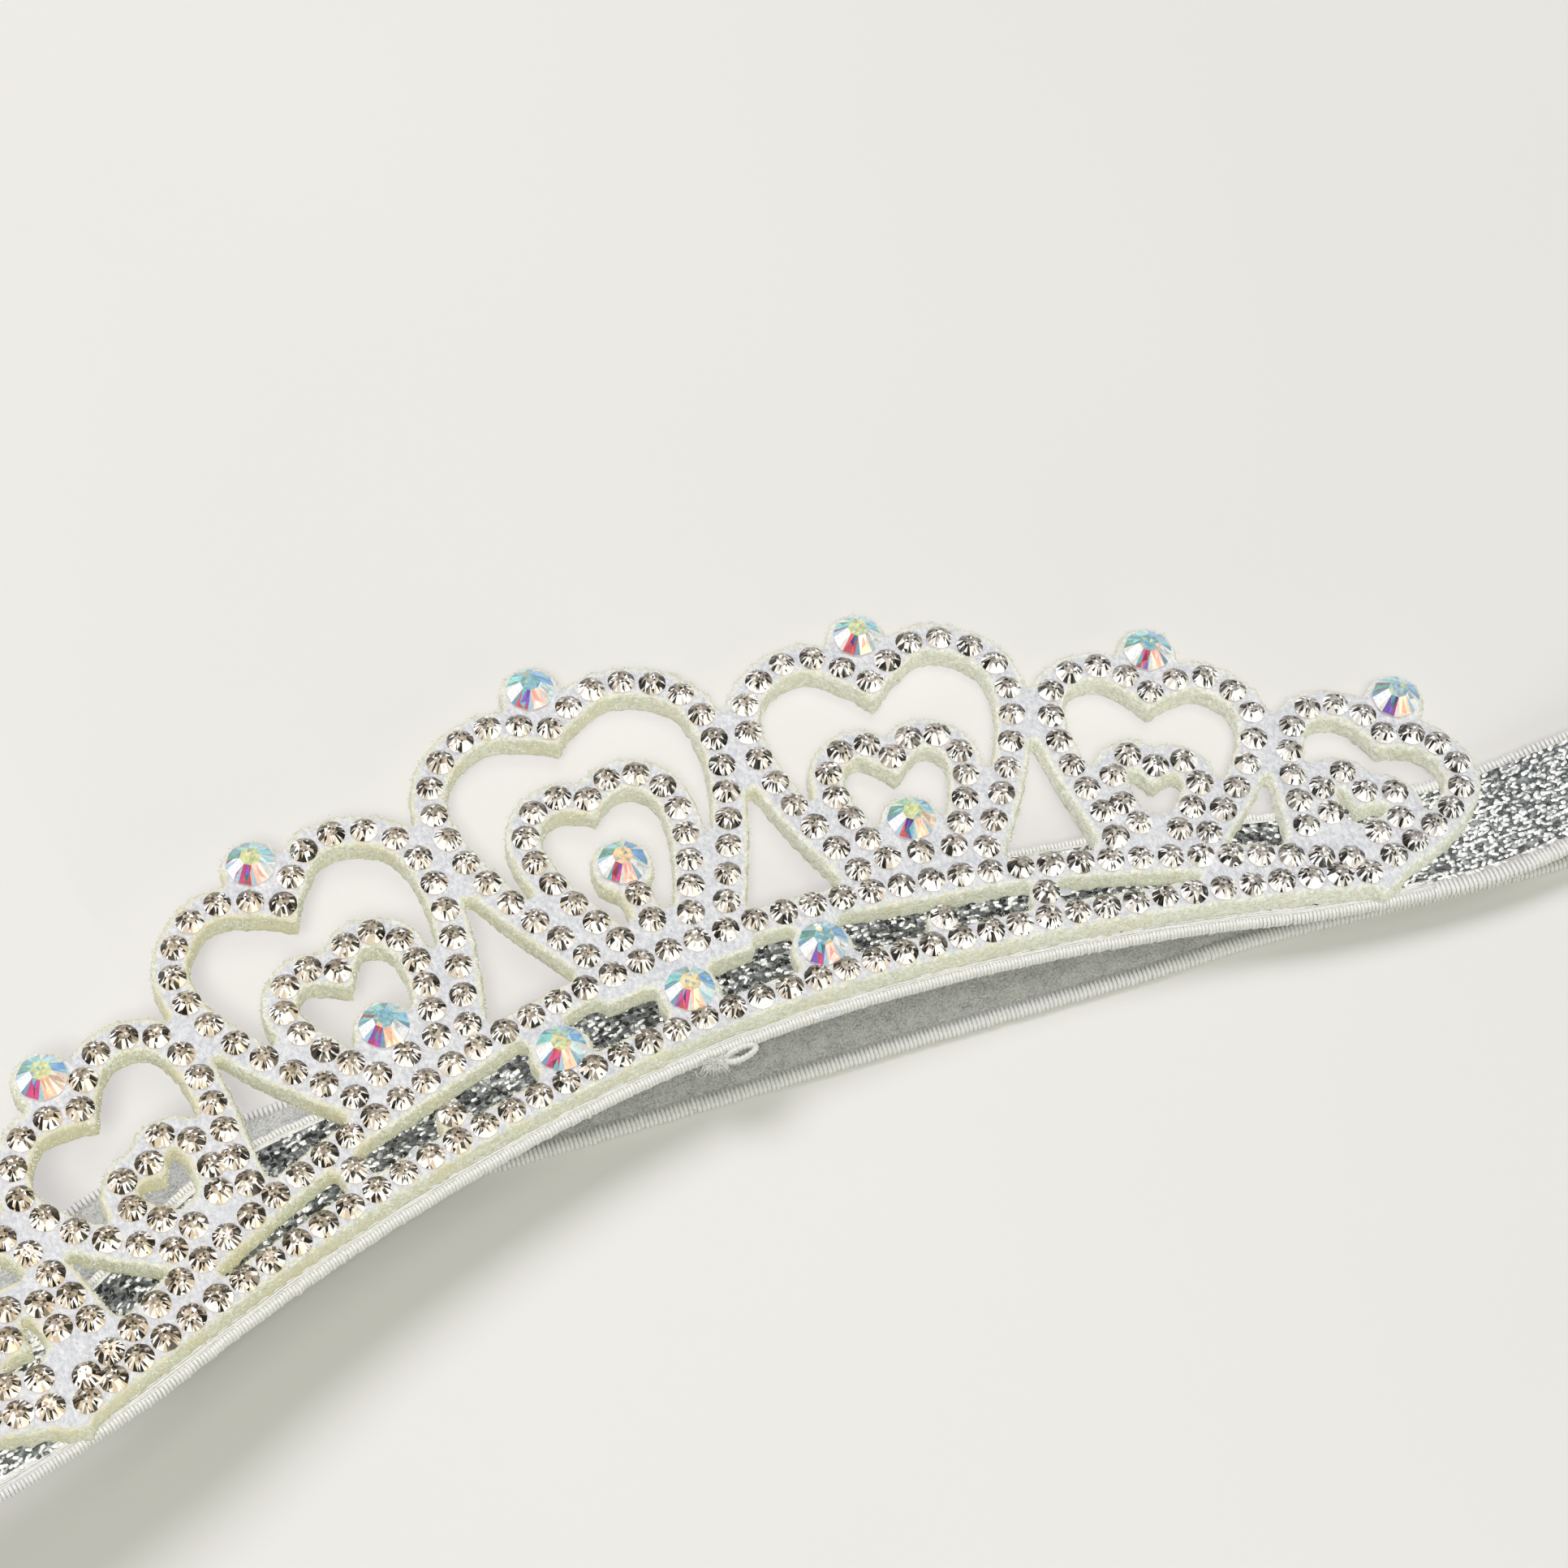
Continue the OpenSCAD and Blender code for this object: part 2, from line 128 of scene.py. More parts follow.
class Finish:
    """A procedural material round one Principled shader."""

    def __init__(self, name, **fixed):
        self.mat = bpy.data.materials.new(name)
        self.mat.use_nodes = True
        self.tree = self.mat.node_tree
        self.shader = self.tree.nodes["Principled BSDF"]
        self.where = self.tree.nodes.new("ShaderNodeTexCoord").outputs["Object"]
        for key, value in fixed.items():
            self.put(self.shader.inputs[key.replace("_", " ")], value)

    def put(self, socket, value):
        if isinstance(value, bpy.types.NodeSocket):
            self.tree.links.new(value, socket)
        else:
            socket.default_value = value

    def add(self, kind, settings=(), **inputs):
        node = self.tree.nodes.new("ShaderNode" + kind)
        for key, value in dict(settings).items():
            setattr(node, key, value)
        for key, value in inputs.items():
            self.put(node.inputs[key.replace("_", " ")], value)
        return node

    def stretched(self, scale):
        """The place on the piece, stretched by three factors."""
        return self.add("Mapping", Vector=self.where, Scale=scale).outputs["Vector"]

    def noise(self, scale, detail=3.0, rough=0.55, where=None):
        return self.add(
            "TexNoise", Vector=where or self.where, Scale=scale, Detail=detail, Roughness=rough
        ).outputs["Fac"]

    def cells(self, scale):
        return self.add("TexVoronoi", Vector=self.where, Scale=scale).outputs["Distance"]

    def ramp(self, fac, *stops):
        """stops are (place, colour) pairs."""
        node = self.add("ValToRGB", Fac=fac)
        ramp = node.color_ramp
        while len(ramp.elements) < len(stops):
            ramp.elements.new(0.5)
        for element, (place, colour) in zip(ramp.elements, stops):
            element.position = place
            element.color = colour
        return node.outputs["Color"]

    def tones(self, fac, *stops, dim=LIT):
        """A ramp of colours as read off. stops are a place, red, green and blue each."""
        return self.ramp(fac, *[(place, srgb(*rgb, dim)) for place, *rgb in stops])

    def grey(self, fac, *stops):
        return self.ramp(fac, *[(place, (v, v, v, 1.0)) for place, v in stops])

    def mix(self, fac, a, b, blend="MIX"):
        node = self.add("Mix", {"data_type": "RGBA", "blend_type": blend})
        # Its sockets for the factor and for two colours
        for k, value in ((0, fac), (6, a), (7, b)):
            self.put(node.inputs[k], value)
        return node.outputs[2]

    def maths(self, operation, a, b=0.0):
        node = self.add("Math", {"operation": operation})
        self.put(node.inputs[0], a)
        self.put(node.inputs[1], b)
        return node.outputs[0]

    def tint(self):
        """The colour of each facet, kept on the mesh."""
        return self.add("VertexColor", {"layer_name": "tint"}).outputs["Color"]

    def colour(self, value, kind="Base"):
        self.put(self.shader.inputs[kind + " Color"], value)

    def rough(self, fac, *stops):
        self.put(self.shader.inputs["Roughness"], self.grey(fac, *stops))

    def bump(self, height, strength, distance):
        node = self.add("Bump", Strength=strength, Distance=distance * MM, Height=height)
        self.put(self.shader.inputs["Normal"], node.outputs["Normal"])


def felt_finish():
    """White nap on the face, cream and coarse on the cut edge, darker and olive low on it as
    painted shade, paler towards the crown's right as painted light, and with a painted glow."""
    f = Finish(
        "felt_white", Specular_IOR_Level=0.35, Sheen_Weight=0.3, Sheen_Roughness=0.4,
        Emission_Strength=0.09,
    )
    height = f.add("VectorMath", {"operation": "DOT_PRODUCT"})
    f.put(height.inputs[0], f.where)
    f.put(height.inputs[1], tuple(CROWN_UP))
    over = f.maths("SUBTRACT", height.outputs["Value"], CROWN_Z * CROWN_UP[2] * MM)
    level = f.maths("MULTIPLY", over, 1 / (FELT_T * MM))
    grain = f.noise(3600, 4, 0.7)
    side = f.tones(
        f.noise(2600, 4, 0.7),
        (0.36, 205, 205, 173), (0.5, 236, 236, 210), (0.62, 254, 254, 243), dim=0.88,
    )
    side = f.mix(f.grey(f.noise(160, 2), (0.48, 0.0), (0.6, 0.7)), side, srgb(246, 238, 196))
    # Painted shade: the cut edge is darker and more olive towards the felt's underside
    under = f.grey(level, (0.0, 1.0), (0.6, 0.0))
    low = f.mix(under, side, srgb(243, 246, 230, 1), "MULTIPLY")
    # Painted light: the cut edges are paler towards the crown's right
    x = f.add("SeparateXYZ", Vector=f.where).outputs["X"]
    # 0 at the left and 1 at the right of a crown 0.2 m long
    along = f.maths("ADD", f.maths("MULTIPLY", x, 5), 0.5)
    right = f.grey(along, (0.3, 0.0), (0.8, 0.75))
    painted_light_pale = f.ramp(
        f.noise(2100, 4, 0.75),
        (0.38, srgb(216, 217, 192, 0.9)),
        (0.58, srgb(253, 254, 246, 0.95)),
    )
    low = f.mix(right, low, painted_light_pale)
    fibres = f.noise(2400, 5, 0.7, f.stretched((1.0, 0.7, 1.0)))
    top = f.tones(
        fibres,
        (0.34, 210, 213, 219), (0.5, 236, 238, 241), (0.62, 255, 255, 255), dim=0.85,
    )
    inward = f.maths("ADD", f.tint(), f.maths("MULTIPLY", grain, 0.5))
    inner = f.grey(inward, (0.42, 0.0), (0.75, 1.0))
    f.colour(f.mix(inner, low, top))
    # A painted glow on the cut edges, in their own colours, in place of the light that comes
    # through the felt
    f.colour(f.mix(inner, low, BLACK), "Emission")
    f.rough(grain, (0.35, 0.5), (0.65, 0.95))
    hills = f.maths("ADD", grain, f.maths("ADD", fibres, f.noise(1500, 4, 0.7)))
    f.bump(hills, 0.9, 0.2)
    return f.mat


def nap_finish():
    """Single fibres, from cream to white."""
    f = Finish("felt_nap", Specular_IOR_Level=0.3, Sheen_Weight=0.3, Sheen_Roughness=0.4)
    f.colour(f.tones(f.noise(500), (0.38, 214, 214, 190), (0.6, 244, 244, 228)))
    f.rough(f.noise(900), (0.3, 0.6), (0.7, 0.8))
    return f.mat


def stone_finish(name, metal, rough, flaws, glow):
    """Cut glass over foil. flaws is how strongly its inner specks show, and glow the strength
    of a painted glow in the facets' own colours, which makes the bright facets brighter than
    paper."""
    f = Finish(
        name, Metallic=metal, Specular_IOR_Level=0.3, Coat_Weight=0.15,
        Coat_Roughness=0.03, Emission_Strength=glow,
    )
    specks = f.cells(3000)
    f.colour(f.mix(flaws, f.tint(), f.grey(specks, (0.15, 0.45), (0.55, 1.0)), "MULTIPLY"))
    f.rough(f.noise(2600, 2), (0.35, rough), (0.7, rough + 0.08))
    # Painted glow: the facets give off light in their own colours
    f.colour(f.tint(), "Emission")
    return f.mat


def glitter_finish():
    """Metallic yarn, each stitch as bright as its mesh says."""
    f = Finish("glitter_yarn", Metallic=0.2, Specular_IOR_Level=0.6)
    wear = f.grey(f.noise(1800, 2), (0.3, 0.6), (0.7, 1.0))
    f.colour(f.mix(0.25, f.tint(), wear, "MULTIPLY"))
    f.rough(f.noise(1200, 2), (0.35, 0.16), (0.7, 0.34))
    return f.mat


def ground_finish():
    """The dark weave between the stitches."""
    f = Finish("elastic_ground", Specular_IOR_Level=0.4)
    weave = f.noise(1600, 3, 0.6)
    f.colour(f.tones(weave, (0.35, 54, 58, 58), (0.52, 110, 116, 115), (0.66, 176, 182, 181)))
    f.rough(f.noise(1500), (0.3, 0.4), (0.7, 0.7))
    f.bump(f.noise(1800, 4, 0.7), 0.8, 0.2)
    return f.mat


def plush_finish():
    """The elastic's soft side, in small patches of brightness."""
    f = Finish("elastic_plush", Specular_IOR_Level=0.2, Sheen_Weight=0.35, Sheen_Roughness=0.5)
    pile = f.noise(4200, 4, 0.75)
    patches = f.noise(700, 3, 0.6)
    near = f.maths("ADD", pile, f.maths("MULTIPLY", patches, 0.35))
    f.colour(f.tones(near, (0.52, 166, 167, 162), (0.66, 214, 215, 210), (0.82, 242, 242, 237)))
    f.rough(pile, (0.3, 0.8), (0.7, 1.0))
    f.bump(near, 0.9, 0.16)
    return f.mat


def pile_finish():
    """The single hairs of the soft side."""
    f = Finish("elastic_pile", Specular_IOR_Level=0.2, Sheen_Weight=0.3, Sheen_Roughness=0.5)
    hairs = f.noise(2400, 2)
    f.colour(f.tones(hairs, (0.34, 160, 162, 157), (0.5, 218, 219, 213), (0.66, 248, 248, 243)))
    f.rough(f.noise(900), (0.3, 0.75), (0.7, 0.95))
    return f.mat


def selvedge_finish(name, *tones, ribbed=False):
    """Thread in three tones, from its hollows to its ridges. ribbed multiplies in the painted
    shade between the ribs, which is kept on the mesh."""
    f = Finish(name, Specular_IOR_Level=0.3, Sheen_Weight=0.25, Sheen_Roughness=0.5)
    thread = f.noise(3400, 3, 0.6)
    colour = f.tones(thread, *[(0.3 + 0.22 * k, *tone) for k, tone in enumerate(tones)])
    f.colour(f.mix(1.0, colour, f.tint(), "MULTIPLY") if ribbed else colour)
    f.rough(thread, (0.3, 0.6), (0.7, 0.85))
    f.bump(thread, 0.4, 0.06)
    return f.mat


def glue_finish():
    """Dried glue, half clear."""
    f = Finish(
        "clear_glue", Specular_IOR_Level=0.6, Coat_Weight=0.6, Coat_Roughness=0.05,
        Transmission_Weight=0.45,
    )
    f.colour(f.tones(f.noise(350, 2), (0.35, 222, 226, 228), (0.65, 242, 245, 246)))
    f.rough(f.noise(600, 2), (0.35, 0.12), (0.7, 0.3))
    return f.mat


def floor_finish():
    """The plain white surface that it all lies on."""
    f = Finish("floor", Specular_IOR_Level=0.2)
    f.colour(f.tones(f.noise(7, 2, 0.5), (0.35, 236, 234, 229), (0.65, 239, 237, 232)))
    f.rough(f.noise(160), (0.3, 0.7), (0.7, 0.8))
    return f.mat


# Pieces


# Nothing is lower than this, so that nothing coincides with the floor
OFF_FLOOR = 0.01


def placed(name, data):
    """A new object in the scene that shows the data."""
    obj = bpy.data.objects.new(name, data)
    bpy.context.scene.collection.objects.link(obj)
    return obj


def piece(name, points, faces, mats, slot, nodes=(), smooth=True, index=None, tint=None):
    """A mesh that rides on the part, its points in the surface's frame, in millimetres.
    index is each face's material. tint is a colour for each face, or one grey value for
    each corner of the faces."""
    mesh = bpy.data.meshes.new(name)
    points = np.array(points, float)
    points[:, 2] = np.maximum(points[:, 2], OFF_FLOOR)
    mesh.from_pydata((points * MM).tolist(), [], [list(f) for f in faces])
    for mat in mats:
        mesh.materials.append(mat)
    if index is not None:
        mesh.polygons.foreach_set("material_index", np.asarray(index, np.int32))
    mesh.polygons.foreach_set("use_smooth", np.full(len(mesh.polygons), smooth))
    if tint is not None:
        tint = np.asarray(tint, np.float32)
        if tint.ndim == 1:
            tint = np.repeat(tint[:, None], 3, axis=1)
        else:
            tint = np.repeat(tint, [len(f) for f in faces], axis=0)
        layer = mesh.color_attributes.new("tint", "FLOAT_COLOR", "CORNER")
        opaque = np.ones((len(tint), 1), np.float32)
        layer.data.foreach_set("color", np.hstack([tint, opaque]).ravel())
    mesh.validate()
    obj = placed(name, mesh)
    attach(obj, "root")
    if nodes:
        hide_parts(*nodes)
    return obj


# Felt


def welded(node):
    """A CAD node's points, in its crown frame, and faces, with split corners joined."""
    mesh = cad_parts[node].data
    co = to_crown(np.array([v.co[:] for v in mesh.vertices]) / MM)
    _, first, where = np.unique(np.round(co, 3), axis=0, return_index=True, return_inverse=True)
    where = where.ravel()
    faces = [[int(where[i]) for i in p.vertices] for p in mesh.polygons]
    return co[first], [f for f in faces if len(set(f)) == len(f)]


# Grid of the felt, how far in the look of its cut edge reaches, and the share of its
# normal that points up below which a place belongs to a cut edge
FELT_VOXEL = 0.4
EDGE_BLEND = 1.3
EDGE_UP = 0.6
# The highest that it may come, just under the stones
FELT_HIGH = SEAT - 0.02
# Height and frequency of the unevenness all over and of that on the cut edges
UNEVEN, RAGGED = (0.06, 0.9), (0.24, 1.7)


def felt():
    """The crown, remeshed finely and roughened: its points and normals."""
    points, faces = welded("felt_crown")
    mesh = bpy.data.meshes.new("felt_cut")
    mesh.from_pydata(points.tolist(), [], faces)
    crown = placed("felt_cut", mesh)
    grid = crown.modifiers.new("grid", "REMESH")
    grid.mode = "VOXEL"
    grid.voxel_size = FELT_VOXEL
    graph = bpy.context.evaluated_depsgraph_get()
    made = crown.evaluated_get(graph).to_mesh()
    n = len(made.vertices)
    co, no = np.zeros((2, n, 3))
    made.vertices.foreach_get("co", co.ravel())
    made.vertex_normals.foreach_get("vector", no.ravel())
    faces = [p.vertices[:] for p in made.polygons]
    crown.evaluated_get(graph).to_mesh_clear()
    bpy.data.objects.remove(crown)
    wall = np.where(abs(no[:, 2]) < EDGE_UP)[0]
    tree = kdtree.KDTree(len(wall))
    for i in wall:
        tree.insert(co[i], int(i))
    tree.balance()
    move, inward = np.zeros(n), np.zeros(n)
    for i in range(n):
        p = Vector(co[i])
        inward[i] = min(1.0, tree.find(p)[2] / EDGE_BLEND)
        side = 1 - abs(no[i][2])
        uneven = UNEVEN[0] * noise.noise(p * UNEVEN[1]) * (0.5 + side)
        move[i] = uneven + RAGGED[0] * side * noise.noise(p * RAGGED[1])
    co = co + no * move[:, None]
    co[:, 2] = np.clip(co[:, 2], 0.0, FELT_HIGH)
    tint = [inward[k] for f in faces for k in f]
    piece("felt_body", to_surface(co), faces, [FELT], "felt", ["felt_crown"], tint=tint)
    return co, no


# How far the foot of a fibre is sunk
SUNK = 0.06


def spikes(root, way, long, thick):
    """Closed three-sided spikes of the given lengths, as points and faces."""
    way = unit(way)
    side = unit(np.cross(way, [0.3, 0.1, 0.95]))
    up = np.cross(way, side)
    tip = root + way * long[:, None]
    foot = root - way * SUNK
    half = foot - side * thick * 0.5
    corners = (foot + side * thick, half + up * thick, half - up * thick, tip)
    points = np.stack(corners, axis=1).reshape(-1, 3)
    faces = []
    for a in range(0, len(points), 4):
        b, c, tip = a + 1, a + 2, a + 3
        faces += [(a, c, b), (a, b, tip), (b, c, tip), (c, a, tip)]
    return points, faces


# Fibres along the top of a cut edge, on the face and low on a cut edge: how many, how
# far they stand off, their spread, their lengths and how thick they are
TOP_NAP = (17000, 0.7, 0.9, (0.05, 0.2), 0.06)
FACE_NAP = (7000, 0.1, 1.0, (0.3, 0.7), 0.025)
LOW_NAP = (9000, 0.7, 0.9, (0.04, 0.12), 0.06)
# Where the top of a cut edge ends, and how low and high a fibre may reach
TOP_Z = FELT_T - 0.9
NAP_Z = (0.02, SEAT + 0.2)


def nap(co, no):
    """Fine fibres that stand off the felt's cut edges and lie on its face."""
    draw = np.random.default_rng(7)
    top = np.where((co[:, 2] > TOP_Z) & (abs(no[:, 2]) < 0.9))[0]
    face = np.where((no[:, 2] > 0.98) & (co[:, 2] > FELT_T - 0.3))[0]
    low = np.where((co[:, 2] < TOP_Z) & (abs(no[:, 2]) < 0.5))[0]
    roots, ways, longs, thicks = [], [], [], []
    for where, kind in ((top, TOP_NAP), (face, FACE_NAP), (low, LOW_NAP)):
        count, out, flat, long, thick = kind
        chosen = where[draw.integers(0, len(where), count)]
        turn = draw.normal(size=(count, 3)) * [flat, flat, 0.25]
        ways.append(no[chosen] * out + turn * 0.6)
        roots.append(co[chosen] + draw.normal(size=(count, 3)) * [0.12, 0.12, 0.02])
        longs.append(draw.uniform(*long, count))
        thicks.append(np.full((count, 1), thick))
    corners, faces = spikes(*(np.concatenate(v) for v in (roots, ways, longs, thicks)))
    corners[:, 2] = np.clip(corners[:, 2], *NAP_Z)
    piece("felt_nap", to_surface(corners), faces, [NAP], "felt", smooth=False)


# Stones


def centres(node):
    """The middle of each stone of a node, in the crown's frame."""
    points, faces = welded(node)
    owner = list(range(len(points)))

    def top(i):
        while owner[i] != i:
            owner[i] = owner[owner[i]]
            i = owner[i]
        return i

    for f in faces:
        for i in f[1:]:
            owner[top(i)] = top(f[0])
    groups = {}
    for i in range(len(points)):
        groups.setdefault(top(i), []).append(i)
    middles = [(points[g].min(0) + points[g].max(0)) / 2 for g in groups.values()]
    return sorted((round(float(x), 4), round(float(y), 4)) for x, y, _ in middles)


def rail_y(x, upper):
    """Height of a rail's row of stones at a place along the crown."""
    base, drop = (UPPER_Y, UPPER_DROP) if upper else (LOWER_Y, LOWER_DROP)
    return base - drop * (abs(x) / RAIL_SPAN) ** RAIL_BOW


def rail_places():
    """Stones along both rails and the spacers between them."""
    found = []
    for upper in (False, True):
        xs = np.linspace(0, RAIL_SPAN, 19)
        line = np.stack([xs, [rail_y(x, upper) for x in xs]], axis=1)
        far = distances(line)
        pitch = RAIL_PITCH * (1 if upper else LOW_PITCH)
        for k in range(int(far[-1] / pitch) + 1):
            x, y = (float(np.interp(k * pitch, far, line[:, j])) for j in (0, 1))
            if x < (RAIL_LAST if upper else RAIL_SPAN):
                found.append((x, y))
    for share, up in SPACERS:
        x = RAIL_SPAN * share
        found.append((x, rail_y(x, False) * (1 - up) + rail_y(x, True) * up))
    found.append(EXTRA_STONE)
    return sorted(found + [(-x, y) for x, y in found if x > 1])


def cut(height, table, waist, share, draw):
    """A stone of radius 1 with a table and eight main facets, each split into smaller facets
    for the
    painted reflections of the foil: points, faces, each face's kind and sector, and its middle."""
    points, faces, kinds = [], [], []

    def at(r, angle, z):
        points.append((r * math.cos(angle), r * math.sin(angle), z * height))
        return len(points) - 1

    def between(corners, across, out):
        """A point on a main facet, by shares of its width and of the way outwards."""
        a, b, c, d = (np.array(points[i]) for i in corners)
        p = (a * (1 - across) + b * across) * (1 - out) + (c * (1 - across) + d * across) * out
        points.append(tuple(p))
        return len(points) - 1

    def put(kind, *face):
        faces.append(list(face))
        kinds.append((kind, k))

    k = 0
    step = math.pi / 4
    top = [at(table, k * step, 1.0) for k in range(8)]
    well = [at(table * 0.55, (k + 0.5) * step, 1.0) for k in range(8)]
    centre = at(0.0, 0.0, 1.0)
    left = [at(1.0, k * step + share, waist[1]) for k in range(8)]
    right = [at(1.0, (k + 1) * step - share, waist[1]) for k in range(8)]
    rims = [
        [at(r, (k + e) * step + share * (1 - 2 * e), z) for k in range(8) for e in (0, 1)]
        for r, z in ((1.0, waist[0]), (0.95, 0.0))
    ]
    for k in range(8):
        n = (k + 1) % 8
        put("well", centre, well[k], well[n])
        put("table", well[k], top[n], well[n])
        put("table", well[k], top[k], top[n])
        main = (top[k], top[n], left[k], right[k])
        inner = between(main, draw.uniform(0.35, 0.65), 0.0)
        near = between(main, draw.uniform(0.15, 0.4), draw.uniform(0.35, 0.8))
        far = between(main, draw.uniform(0.6, 0.85), draw.uniform(0.35, 0.8))
        one = between(main, draw.uniform(0.2, 0.45), 1.0)
        two = between(main, draw.uniform(0.55, 0.8), 1.0)
        put("side", top[k], left[k], near)
        put("outer", near, left[k], one)
        put("sliver", top[k], near, inner)
        put("sliver", inner, near, far)
        put("outer", near, one, two)
        put("sliver", near, two, far)
        put("sliver", inner, far, top[n])
        put("outer", far, two, right[k])
        put("side", top[n], far, right[k])
        put("corner", top[n], right[k], left[n])
        low, high = rims[0][2 * k], rims[0][2 * k + 1]
        put("rim", right[k], two, one, left[k], low, high)
        put("rim", left[n], right[k], high, rims[0][2 * n])
    for k in range(16):
        n = (k + 1) % 16
        put("foot", rims[0][n], rims[0][k], rims[1][k], rims[1][n])
    put("foot", *reversed(rims[1]))
    points = np.array(points)
    return points, faces, kinds, np.array([points[f].mean(0)[:2] for f in faces])


# Tan of the foil, and the brightness of the dark and the middle facets, which are painted
# reflections
WARM = (1.0, 0.86, 0.68)
DARKS = (0.015, 0.03, 0.06)
TANS = (0.06, 0.12, 0.19, 0.27, 0.37, 0.52)


def painted_foil_reflection(near, side, draw):
    """Painted reflection of the foil on a clear stone, from its far side at -1 to its near side
    at 1:
    painted white near the viewer, tan beyond, dark at both flanks."""
    chance = draw.random()
    if near > 0.15:
        if chance < 0.72:
            return draw.choice((1.0, 1.0, 0.75))
        return draw.choice(TANS if chance < 0.87 else DARKS)
    if near > -0.3:
        dark = 0.5 if abs(side) > 0.45 else 0.25
        return 1.0 if chance > 0.82 else draw.choice(DARKS if chance < dark else TANS)
    return 0.9 if chance > 0.92 else draw.choice(DARKS if chance < 0.22 else TANS)


def shades(kinds, middles, draw, x):
    """Colours of the facets of one clear stone, as painted reflections of the foil, less warm
    to the right of the crown.
    """
    glow = 0.8 - 0.35 * x / RAIL_SPAN
    cv, sv = math.cos(TOWARDS_VIEW), math.sin(TOWARDS_VIEW)
    nears = middles @ [cv, sv]
    sides = middles @ [-sv, cv]
    sector, out = {}, []
    for (kind, k), near, side in zip(kinds, nears, sides):
        if kind in ("rim", "foot"):
            v, warm = (0.5 if kind == "rim" else 0.3) + 0.2 * draw.random(), 1.2
        else:
            if kind in ("well", "table"):
                v = draw.choice(TANS[2:]) if draw.random() < 0.75 else draw.choice((0.04, 1.0))
                # The table is painted brighter towards the viewer, as painted reflection
                v *= 1.1 + 0.5 * near
            elif kind == "sliver":
                v = draw.choice(DARKS) if draw.random() < 0.14 else painted_foil_reflection(near, side, draw)
            else:
                if k not in sector:
                    sector[k] = painted_foil_reflection(near, side, draw)
                v = sector[k] if draw.random() < 0.55 else painted_foil_reflection(near, side, draw)
            warm = 0.16 if v > 0.85 else 1.2
        v = min(v, 1.0)
        out.append(tuple(v * (1 - warm * glow * (1 - c)) for c in WARM))
    return out


# Both cuts, for a radius of 1: height, radius of the table, heights of the waist, and
# the angle that a main facet leaves free at each side
SMALL_CUT = (STONE_H / STONE_R, 0.5, (0.12, 0.24), 0.14)
LARGE_CUT = (GEM_H / GEM_R, 0.42, (0.2, 0.3), 0.12)
# How many cuts the small stones share, and how much they lean
CUTS = 7
LEAN = 0.035


def small_stones(name, places, nodes=()):
    """Clear stones at the given places of the crown, as one piece."""
    draw = random.Random(name)
    cuts = [cut(*SMALL_CUT, draw) for _ in range(CUTS)]
    points, faces, tints, base = [], [], [], 0
    for x, y in places:
        shape, sides, kinds, middles = draw.choice(cuts)
        turn = draw.uniform(0, 2 * math.pi)
        lean = [draw.gauss(0, LEAN), draw.gauss(0, LEAN)]
        size = STONE_R * draw.uniform(0.97, 1.02)
        spin = Matrix.Rotation(turn, 3, "Z")
        tip = Matrix.Rotation(lean[0], 3, "X") @ Matrix.Rotation(lean[1], 3, "Y")
        lift = SEAT + (abs(lean[0]) + abs(lean[1])) * size
        points.append(shape @ (np.array(tip @ spin) * size).T + [x, y, lift])
        faces += [[i + base for i in f] for f in sides]
        base += len(shape)
        tints += shades(kinds, middles @ np.array(spin.to_2x2()).T, draw, x)
    at = to_surface(np.concatenate(points))
    piece(name, at, faces, [CLEAR], "clear_stone", nodes, smooth=False, tint=tints)


# Colours of a coated stone's main facets, painted reflections of its coating, from the one that
# faces the light, which is painted white as a highlight, turning anticlockwise, each with its
# common choices
COATED = (
    ((255, 255, 255), (240, 252, 255)),
    ((214, 96, 146), (136, 108, 200), (220, 108, 118), (120, 190, 196)),
    ((255, 208, 176), (255, 186, 172), (255, 236, 220)),
    ((238, 248, 250), (196, 232, 240), (255, 226, 206)),
    ((132, 184, 242), (160, 220, 236)),
    ((136, 196, 246), (190, 232, 236)),
    ((160, 224, 224), (176, 226, 196), (150, 178, 176)),
    ((124, 172, 160), (150, 220, 216), (166, 120, 128)),
)
TABLES = ((190, 200, 166), (244, 214, 170), (138, 186, 198), (208, 220, 166), (178, 200, 210))
CORNERS = ((186, 222, 240), (240, 244, 236), (134, 176, 200))
# The facet that holds all its colours, and those with light and dark lines
MIXED, STARRED = 1, (2, 3)
# The side that faces the light, and how the coated stones are turned
LIT_SIDE = math.radians(180)
GEM_TURN = math.radians(22.5)


def bright(colour, v):
    """A read colour at v times its brightness, less the warmth of the lamps."""
    return tuple(min(1.0, v * c * k) for c, k in zip(srgb(*colour, 1.0), (0.94, 0.88, 0.86)))


def coated(kind, middle, draw, table, picks):
    """Colour of a facet of a coated stone, by the way it faces: painted reflections of the
    coating, with a painted highlight where it faces the light.
    """
    if kind in ("rim", "foot"):
        v = 0.6 + 0.2 * draw.random()
        return (v, v * 0.9, v * 0.85)
    if kind in ("well", "table"):
        colour = draw.choice(TABLES) if draw.random() < 0.3 else table
        return bright(colour, draw.uniform(0.8, 1.3))
    if kind == "corner":
        return bright(draw.choice(CORNERS), 1.0)
    k = round((math.atan2(middle[1], middle[0]) - LIT_SIDE) / (math.pi / 4)) % 8
    if k == MIXED and kind == "sliver":
        return bright(draw.choice(COATED[k]), draw.choice((0.5, 0.85, 1.25)))
    pick = draw.randrange(4) if k and draw.random() < 0.3 else picks[k]
    colour = COATED[k][pick % len(COATED[k])]
    if k in STARRED:
        lines = {"sliver": (0.75, 1.4), "side": (1.0,), "outer": (1.0, 1.5)}[kind]
        return bright(colour, draw.choice(lines))
    return bright(colour, 1.2 if k == 0 else draw.uniform(0.8, 1.25))


